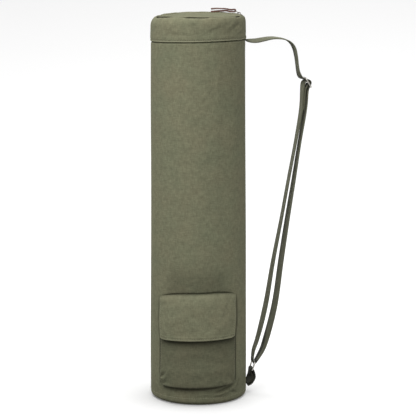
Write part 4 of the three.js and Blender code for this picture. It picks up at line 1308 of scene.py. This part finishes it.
def build_zip():
    """Tapes, two rows of meshing teeth, the slider, its ring and the leather lace."""
    reach = LID_RADIUS - TAPE_SHORT
    x = np.linspace(LID_SHIFT - reach, LID_SHIFT + reach, 120)
    for half, side in (("front", -1), ("back", 1)):
        y = side * (np.array([0, 0.5, 1.2, 2.2, 4, 7, 10.4]) + TAPE_INNER)[::side, None]
        # A cord along the inner edge of each tape carries the teeth.
        bead = 0.55 * bell(np.abs(y) - TAPE_INNER - 0.7, 0.8)
        points = points_of(x, y, lid_top(x, y) - CANVAS - GAP + bead)
        shell = shell_of(points, points[..., :2])
        add_piece(f"tape_{half}", shell, "tape", [f"zip_tape_{half}"], wall=(TAPE, 0.25))

    # A tooth's sections are eight-sided.
    angle = np.arange(8) * math.pi / 4 + math.pi / 8
    across, half_long, half_tall = (TOOTH[name][:, None] for name in TOOTH.dtype.names)
    tooth = points_of(
        half_long * np.cos(angle) * 1.08, across, half_tall * np.sin(angle) * 1.08
    )
    rows = []
    for side, shift in ((1, 0.0), (-1, TOOTH_PITCH / 2)):
        shell = outward(shell_of(tooth * [1, side, 1], ring=True, caps=True))
        along = TEETH_START + shift + TOOTH_PITCH * np.arange(TEETH_COUNT)
        along = along[along < SLIDER_X - 3]
        for middle in points_of(along, 0.0, lid_top(along, 0) - TEETH_SUNK - 1.15):
            rows.append({**shell, "points": shell["points"] + middle})
    add_piece("zip_teeth_rows", joined(rows), "zip_nickel", ["zip_teeth"])

    # The slider's plate: a rounded outline, wider at its mouth, through a bevelled profile.
    turn = np.linspace(0, 2 * math.pi, 40, endpoint=False)
    px, py = (np.sign(way) * np.abs(way) ** 0.62 for way in (np.cos(turn), np.sin(turn)))
    py = py * PLATE_WIDE / 2 * (1 - 0.14 * px) / 1.14
    px = px * PLATE_LONG / 2
    level, size = (PLATE_PROFILE[name][:, None] for name in PLATE_PROFILE.dtype.names)
    plate = outward(shell_of(points_of(px * size, py * size, level), ring=True, caps=True))
    # The crown: a strap of metal bent over in a half ellipse.
    bend = np.linspace(0, math.pi, 22)
    half, tall = CROWN_HALF - CROWN_WIRE / 2, CROWN_TALL - CROWN_WIRE / 2
    low = PLATE_THICK - 0.3
    middle = points_of(-half * np.cos(bend), 0.0, low + (tall + 0.3) * np.sin(bend))
    run = unit(np.gradient(middle, axis=0))
    across = np.tile(ACROSS, (22, 1))
    crown = carried(middle, across, np.cross(run, across), rounded_flat(CROWN_WIDE, CROWN_WIRE, 0.35))
    eye = np.array([0, 0, PLATE_THICK + CROWN_TALL - CROWN_WIRE - GAP - RING_WIRE])
    far = eye + np.array([-RING_LONG, 0, RING_RISE])
    path = loop_path(far, eye, ACROSS, RING_WIDE, RING_CORNER)
    ring = carried(*path, round_outline(RING_WIRE, 10), loop=True)
    plate, crown, ring = ({**s, "points": pull_frame(s["points"])} for s in (plate, crown, ring))
    slider = joined([plate, crown])
    add_piece("zip_slider_body", slider, "zip_nickel", ["zip_slider"])
    add_piece("zip_ring", ring, "zip_nickel", ["zip_pull_ring"])

    # The lace follows its two tails and the bend round the ring's far bar.
    bar = pull_frame(far)
    reach = RING_WIRE + GAP + THONG_THICK / 2
    bend = np.radians(np.linspace(-100, 100, 7))
    arc = points_of(bar[0] + reach * np.cos(bend), 0.0, bar[2] + reach * np.sin(bend))
    rows = np.vstack([THONG_LOWER, arc, THONG_UPPER])
    places = np.linspace(0, len(rows) - 1, 150)
    middle, run = smooth_curve(rows, places)
    run = unit(run)
    normal = unit(np.cross(run, ACROSS))
    across = np.cross(normal, run)
    # A slow curl, so that the lace shows some of its face: its section turns with its length.
    curl = np.radians(26 * np.sin(places * 0.42 + 0.5) * (1 - bell(places - 8, 3.2)))[:, None]
    turned = across * np.cos(curl) + normal * np.sin(curl)
    normal = normal * np.cos(curl) - across * np.sin(curl)
    outline = rounded_flat(THONG_WIDE, THONG_THICK, 0.4)
    lace = carried(middle, turned, normal, outline)
    edge = 0.5 * (np.abs(outline[:, 0]) > THONG_WIDE / 2 - 0.5)
    add_piece("leather_lace", lace, "leather", ["pull_thong"], wear_and_highlight=edge)


# Pocket


def pouch_surface(share, up):
    """The outside of the pouch. Across it the share runs from -1 to 1 of its half angle. It
    stands off the body by its section's depth times a crown across it, falling to nothing
    at its sides and bottom with e to the minus the distance over the edge's reach. The
    bottom sags below its seam, and creases gather at the lower corners."""
    azimuth = POCKET_AZIMUTH + share * POUCH_HALF_ANGLE
    z = POUCH_BOTTOM + up + pocket_rise(azimuth)
    sideways = POUCH_HALF * (1 - np.abs(share))
    rise = (1 - fading(sideways, POUCH_EDGE)) * (1 - fading(up, POUCH_EDGE))
    crown = 1 - POUCH_CROWN * share * share
    out = np.interp(z, POUCH_SECTIONS["z"], POUCH_SECTIONS["out"]) * crown
    out += creased(POUCH_CREASES, POUCH_HALF * share, z)
    waves = np.sin(POUCH_HALF * share * 0.45 + 0.7 * np.sin(share * 9))
    out += 0.35 * bell(up - 6, 6) * waves
    out -= 0.4 * bell(sideways - POUCH_STITCH, 0.8) * ease(up, 2, 8)
    sag = 5.8 * rise * bell(up - 0.5, 8.0) * (1 - 0.45 * share**4)
    return around(azimuth, body_radius(azimuth, z) + SEWN_GAP + out * rise, z - sag)


def flap_surface(share, down):
    """The outside of the flap. Down runs from 0 at its folded top to 1 at its hem. Its width
    swells by a half sine, its top and hem curve at the corners, and it stands off the body
    by its section's depth, less at the lower corners. Stitched lines are sunk inside its
    hems, and the hem itself curls a little."""
    out = np.interp(down, FLAP_SECTIONS["down"], FLAP_SECTIONS["out"])
    width = flap_width(down)
    azimuth = POCKET_AZIMUTH + share * np.degrees(np.arcsin(width / (POCKET_RADIUS + out)))
    rise = pocket_rise(azimuth)
    top = FLAP_TOP - FLAP_TOP_DROP * share**4 + rise
    bottom = FLAP_BOTTOM + FLAP_CORNER * share**16 + rise
    z = top + (bottom - top) * down
    eased = FLAP_SIDE_EASE * share**4 * ease(down, 0, 0.3)
    above_hem, below_top = (1 - down) * FLAP_TALL, down * FLAP_TALL
    hem = np.minimum(width * (1 - np.abs(share)), above_hem)
    lower = ease(below_top, 4, 10)
    detail = creased(FLAP_CREASES, width * share, z)
    detail += 0.25 * np.sin(share * 21 + 1.3) * bell(above_hem - 8, 7)
    detail += 0.25 * (1 - ease(hem, 6.5, 7.6)) * lower
    detail -= 0.35 * (bell(hem - FLAP_STITCH, 0.7) + bell(hem, 0.8)) * lower
    detail *= ease(below_top, 1, 8)
    return around(azimuth, body_radius(azimuth, z) + out - eased + detail, z)


def spread(count, pull):
    """Places from -1 to 1 that crowd towards both ends, as a sine does."""
    return np.sin(np.linspace(-1, 1, count) * pull) / math.sin(pull)


def build_pocket():
    """The pouch and its flap, with their hems and stitching."""
    share = spread(141, 1.47)
    tall = POUCH_MOUTH - POUCH_BOTTOM
    low = [0, 0.3, 0.7, 1.2, 1.8, 2.5, 3.3, 4.3, 5.5, 7, 8.8, 11, 13.5]
    up = np.concatenate([low, np.linspace(16, tall - 6, 50), [tall - 4, tall - 2, tall]])
    cloth = np.stack(np.meshgrid(POUCH_HALF * share * CLOTH_SPREAD, up), axis=-1)
    up = up[:, None]
    sideways = POUCH_HALF * (1 - np.abs(share))
    # Painted shade: the pouch is darker all over and darkest in the flap's shadow just under it,
    # along its edges and in its stitching.
    hidden = (0.52 + 0.1 * share) * fading(FLAP_BOTTOM - POUCH_BOTTOM - up, 13)
    shade = highest(
        0.85 * bell(sideways, 1.6),
        0.8 * bell(up, 1.6),
        0.4 * bell(sideways - POUCH_STITCH, 0.8) * ease(up, 2, 8),
        0.33 + hidden,
    )
    # Paler strips inside its sides and above its bottom, where worn and with painted highlight.
    wear_and_highlight = 0.2 * bell(sideways - 2.2, 1.0) * ease(up, 3, 12)
    wear_and_highlight = wear_and_highlight + 0.15 * bell(up - 4.5, 2.0) * ease(sideways, 2, 6)
    pouch = shell_of(pouch_surface(share, up), cloth)
    add_piece(
        "pouch_canvas", pouch, "canvas", ["pocket_pouch"], shade, wear_and_highlight, wall=(1.3, 0.4)
    )

    share = spread(141, 1.46)
    hem = np.array([0, 0.5, 1.1, 1.8, 2.6, 3.1, 3.7, 4.4, 5.4, 6.6, 7.4, 8.4])
    crest = np.array([0, 0.5, 1.1, 1.8, 2.7, 3.8, 5.2, 7])
    rows = [crest, np.linspace(9.5, FLAP_TALL - 10, 40), FLAP_TALL - hem[::-1]]
    down = (np.concatenate(rows) / FLAP_TALL)[::-1, None]
    across = flap_width(down) * share * CLOTH_SPREAD
    height = np.broadcast_to((1 - down) * FLAP_FLAT_TALL, across.shape)
    sideways = flap_width(down) * (1 - np.abs(share))
    above_hem, below_top = (1 - down) * FLAP_TALL, down * FLAP_TALL
    lower = ease(below_top, 4, 10)
    # Painted shade in the stitching, the folded top's crease and lightly over the whole flap; the hem
    # edges and fold are painted paler, partly worn.
    stitched = 0.35 * bell(np.minimum(sideways, above_hem) - FLAP_STITCH, 0.6) * lower
    wear_and_highlight = (0.6 * bell(above_hem - 1.0, 1.2) + 0.35 * bell(sideways - 1.0, 1.1)) * lower
    flap = add_piece(
        "flap_canvas",
        shell_of(flap_surface(share, down), np.stack([across, height], axis=-1)),
        "canvas",
        ["pocket_flap"],
        highest(0.1, stitched, 0.75 * bell(below_top, 0.9)),
        wear_and_highlight + 0.2 * bell(below_top - 5, 2.5),
        wall=(1.7, 0.5),
    )

    hem_line = 1 - FLAP_STITCH / FLAP_TALL
    line = np.linspace(0.12, hem_line, 160)
    share = np.linspace(-1, 1, 200) * (1 - FLAP_STITCH / FLAP_HALF_WIDTH)
    height = np.linspace(8, 84, 120)
    inset = 1 - POUCH_STITCH / POUCH_HALF
    paths = [flap_surface(side * (1 - FLAP_STITCH / flap_width(line)), line) for side in (-1, 1)]
    paths.append(flap_surface(share, np.full_like(share, hem_line)))
    paths += [pouch_surface(np.full_like(height, side * inset), height) for side in (-1, 1)]
    sew("pocket_stitches", paths)


# Strap


def build_strap():
    """The shoulder strap, the base ring's tab and the stitching of the strap's sewn end."""
    step = bpy.context.scene.mat_bag_sizes.webbing_step / MM
    low, middle_bar, top = slider_bars()
    route = taut(
        STRAP_TOP,
        (*top, ROUND_BAR, 1),
        (*middle_bar, OVER_LOOP, -1),
        STRAP_OUTER,
        (*RING_TOP, ROUND_BAR, -1),
        STRAP_INNER,
        (*middle_bar, ROUND_BAR, -1),
        STRAP_SEWN_END,
    )
    outline = rounded_flat(STRAP_WIDE, STRAP_THICK - 0.1, 0.75, 9)
    inside = STRAP_WIDE / 2 - np.abs(outline[:, 0])
    middle, across, normal = webbing_stations(route, step)
    # The root under the band and the turns round the metal lie in shadow.
    metal = np.array([around(STRAP_AZIMUTH, *bar) for bar in (low, middle_bar, top, RING_TOP)])
    near = np.linalg.norm(middle[:, None] - metal, axis=-1)
    root = np.linalg.norm(middle - middle[0], axis=1)
    hollow = highest(0.9 * (1 - ease(near.min(axis=1), 4, 12)), 0.7 * bell(root, 6.0))
    # Low down both strands are dim. The outer one turns its shaded face to the front, darkest
    # along its far edge and at the foot.
    height = middle[:, 2:]
    way = lengths_along(middle)
    outer = (way < way[np.argmin(near[:, -1])] - 8)[:, None]
    outer = outer * (outline[:, 1] < 0.3 - STRAP_THICK / 2)
    nearness = -across[:, 1:2] * outline[:, 0]
    shift = 9 * (1 - ease(height, 84, 128))
    far = 0.85 * (1 - ease(nearness, shift - 8.5, shift - 5.5))
    facing = outer * np.maximum(far, 0.2) * (1 - 0.7 * bell(height - 430, 70))
    dim = 0.08 * (1 - ease(height, 70, 170))
    # Painted shade on the side edges, turns, low strands and shaded face; paler strips inside the
    # edges are partly painted highlight.
    add_piece(
        "strap_webbing",
        carried(middle, across, normal, outline),
        "webbing",
        ["shoulder_strap"],
        highest(0.42 * (inside < 0.8), hollow[:, None], dim, facing),
        0.25 * bell(inside - 2.4, 1.2),
    )
    # The tab lies in the shadow of the bag's foot.
    route = taut(TAB_INNER, (*RING_BOTTOM, ROUND_BAR, -1), TAB_OUTER)
    tab = carried(*webbing_stations(route, step / 2), outline)
    add_piece("tab_webbing", tab, "webbing", ["ring_tab"], 0.93)

    # Rows across and along the sewn end, on the strand that faces the bag.
    sewn = (middle[:, 2] > 515) & (middle[:, 2] < 545) & (middle @ STRAP_OUT < 188.2)
    face = normal[sewn] * np.where(normal[sewn] @ STRAP_OUT > 0, -1.0, 1.0)[:, None]
    surface = middle[sewn] + face * (STRAP_THICK / 2 - 0.05)
    order = np.argsort(surface[:, 2])
    surface, face, wide = surface[order], face[order], across[sewn][order]
    paths = [surface - wide * STRAP_STITCH, surface + wide * STRAP_STITCH]
    facings = [face, face]
    for spot in (0.08, 0.92):
        k = int(spot * (len(surface) - 1))
        paths.append(surface[k] + wide[k] * np.linspace(-STRAP_STITCH, STRAP_STITCH, 12)[:, None])
        facings.append(np.tile(face[k], (12, 1)))
    sew("strap_stitches", paths, facings)


def build_fittings():
    """The strap's three-bar slider and the ring at the base."""

    def wire_loop(*ends):
        low, high = (around(STRAP_AZIMUTH, *bar) for bar in ends)
        path = loop_path(low, high, STRAP_SIDE, FITTING_WIDE, FITTING_CORNER)
        return carried(*path, round_outline(BAR), loop=True), unit(high - low)

    low, middle, top = slider_bars()
    loop, along = wire_loop(low, top)
    reach = np.linspace(-FITTING_WIDE / 2, FITTING_WIDE / 2, 9)[:, None]
    spine = around(STRAP_AZIMUTH, *middle) + STRAP_SIDE * reach
    across, normal = (np.tile(way, (9, 1)) for way in (along, np.cross(STRAP_SIDE, along)))
    bar = carried(spine, across, normal, round_outline(BAR * 0.94))
    add_piece("slider_frame", joined([loop, bar]), "nickel", ["strap_slider"])
    ring, _ = wire_loop(RING_BOTTOM, RING_TOP)
    add_piece("base_ring_wire", ring, "nickel", ["base_ring"])


# Stage


def build_stage():
    """White paper that sweeps up behind the bag under its own wide light, a room that is
    bright above, a soft key at the upper left, a fill in front, a low bounce light on the
    right, and the camera at the photograph's place."""
    scene = bpy.context.scene
    stage = scene.mat_bag_stage
    # The sweep: flat, then a wide quarter circle up, then straight up, in metres.
    flat = np.linspace(-6, 1.5, 12)
    bend = np.radians(np.linspace(0, 90, 31))[1:]
    y = np.concatenate([flat, 1.5 + 5 * np.sin(bend), [6.5]])[:, None]
    z = np.concatenate([0 * flat, 5 - 5 * np.cos(bend), [7.0]])[:, None]
    points = points_of(np.linspace(-6, 6, 9), y, z)
    mesh = bpy.data.meshes.new("paper_sweep")
    mesh.from_pydata(points.reshape(-1, 3).tolist(), [], grid_faces(len(y), 9).tolist())
    paper = add_object("paper_sweep", mesh, material_for("paper"))
    paper.visible_diffuse = False

    world = bpy.data.worlds.new("studio")
    world.use_nodes = True
    add = functools.partial(add_node, world.node_tree)
    # The room is bright above, grey at the horizon and dim below.
    way = add("ShaderNodeTexCoord", out="Generated")
    height = add("ShaderNodeSeparateXYZ", {"Vector": way}, out=2)
    height = add("ShaderNodeMapRange", {"Value": height, "From Min": -1.0})
    room = add("ShaderNodeValToRGB", {"Fac": height}, out=None)
    room.color_ramp.elements.new(0.5)
    for spot, strength in enumerate((stage.sky_low, stage.sky_level, stage.sky_high)):
        room.color_ramp.elements[spot].color = rgba((strength,) * 3)
    background = world.node_tree.nodes["Background"]
    world.node_tree.links.new(room.outputs[0], background.inputs["Color"])
    scene.world = world

    # The table has its own light, so that the bag's lights cast no long shadow on it.
    table_only = bpy.data.collections.new("table_only")
    all_but_table = bpy.data.collections.new("all_but_table")
    for collection in (table_only, all_but_table):
        collection.objects.link(paper)
    all_but_table.collection_objects[0].light_linking.link_state = "EXCLUDE"
    for name, size, spot, on_paper in LAMPS:
        lamp = bpy.data.lights.new(name, "AREA")
        lamp.energy = getattr(stage, f"{name}_power")
        lamp.shape = "SQUARE"
        lamp.size = size
        lit = bpy.data.objects.new(name, lamp)
        lit.location = spot
        lit.light_linking.receiver_collection = table_only if on_paper else all_but_table
        way = unit(LIT_SPOT - np.array(spot))
        lit.rotation_euler = math.acos(-way[2]), 0.0, math.atan2(way[1], way[0]) - math.pi / 2
        scene.collection.objects.link(lit)

    lens = bpy.data.cameras.new("camera")
    lens.sensor_width = 36
    lens.lens = CAMERA_LENS
    camera = bpy.data.objects.new("camera", lens)
    camera.location = CAMERA_PLACE
    camera.rotation_euler = (CAMERA_PITCH, 0.0, 0.0)
    scene.collection.objects.link(camera)
    scene.camera = camera
    scene.view_settings.view_transform = "Standard"


# Add-on


class BuildOperator:
    """What every building operator shares. A build that can't finish raises its error."""

    bl_options = {"REGISTER", "UNDO"}

    def execute(self, context):
        type(self).build()
        return {"FINISHED"}


class MATBAG_OT_stage(BuildOperator, bpy.types.Operator):
    """Lay the white paper and set the lights and the camera"""

    bl_idname = "mat_bag.stage"
    bl_label = "Set the stage"
    build = staticmethod(build_stage)


class MATBAG_OT_body(BuildOperator, bpy.types.Operator):
    """Build the canvas tube, its base and their seams"""

    bl_idname = "mat_bag.body"
    bl_label = "Build the body"
    build = staticmethod(build_body)


class MATBAG_OT_band(BuildOperator, bpy.types.Operator):
    """Build the stitched band round the top"""

    bl_idname = "mat_bag.band"
    bl_label = "Build the band"
    build = staticmethod(build_band)


class MATBAG_OT_lid(BuildOperator, bpy.types.Operator):
    """Build the two halves of the lid"""

    bl_idname = "mat_bag.lid"
    bl_label = "Build the lid"
    build = staticmethod(build_lid)


class MATBAG_OT_zip(BuildOperator, bpy.types.Operator):
    """Build the zip's tapes, teeth, slider, ring and lace"""

    bl_idname = "mat_bag.zip"
    bl_label = "Build the zip"
    build = staticmethod(build_zip)


class MATBAG_OT_pocket(BuildOperator, bpy.types.Operator):
    """Build the pouch and its flap"""

    bl_idname = "mat_bag.pocket"
    bl_label = "Build the pocket"
    build = staticmethod(build_pocket)


class MATBAG_OT_strap(BuildOperator, bpy.types.Operator):
    """Build the webbing strap and the ring's tab"""

    bl_idname = "mat_bag.strap"
    bl_label = "Build the strap"
    build = staticmethod(build_strap)


class MATBAG_OT_fittings(BuildOperator, bpy.types.Operator):
    """Build the strap's metal slider and ring"""

    bl_idname = "mat_bag.fittings"
    bl_label = "Build the fittings"
    build = staticmethod(build_fittings)


OPERATORS = (
    MATBAG_OT_stage,
    MATBAG_OT_body,
    MATBAG_OT_band,
    MATBAG_OT_lid,
    MATBAG_OT_zip,
    MATBAG_OT_pocket,
    MATBAG_OT_strap,
    MATBAG_OT_fittings,
)
GROUPS = {
    "mat_bag_looks": MatBagLooks,
    "mat_bag_sizes": MatBagSizes,
    "mat_bag_stage": MatBagStage,
}


class MATBAG_PT_panel(bpy.types.Panel):
    """The bag's settings and its building steps"""

    bl_idname = "MATBAG_PT_panel"
    bl_label = "Mat Bag"
    bl_space_type = "VIEW_3D"
    bl_region_type = "UI"
    bl_category = "Mat Bag"

    def draw(self, context):
        for title, group in GROUPS.items():
            box = self.layout.box()
            for name in group.__annotations__:
                box.prop(getattr(context.scene, title), name)
        for operator in OPERATORS:
            self.layout.operator(operator.bl_idname)


def register():
    for group in GROUPS.values():
        bpy.utils.register_class(group)
    for title, group in GROUPS.items():
        setattr(bpy.types.Scene, title, bpy.props.PointerProperty(type=group))
    for operator in OPERATORS:
        bpy.utils.register_class(operator)
    bpy.utils.register_class(MATBAG_PT_panel)


def unregister():
    bpy.utils.unregister_class(MATBAG_PT_panel)
    for operator in reversed(OPERATORS):
        bpy.utils.unregister_class(operator)
    for title, group in GROUPS.items():
        delattr(bpy.types.Scene, title)
        bpy.utils.unregister_class(group)


def main():
    """Builds the stage and every piece in order."""
    register()
    for operator in OPERATORS:
        name = operator.bl_idname.split(".")[1]
        getattr(bpy.ops.mat_bag, name)()
    bpy.context.view_layer.update()


if __name__ == "__main__":
    main()
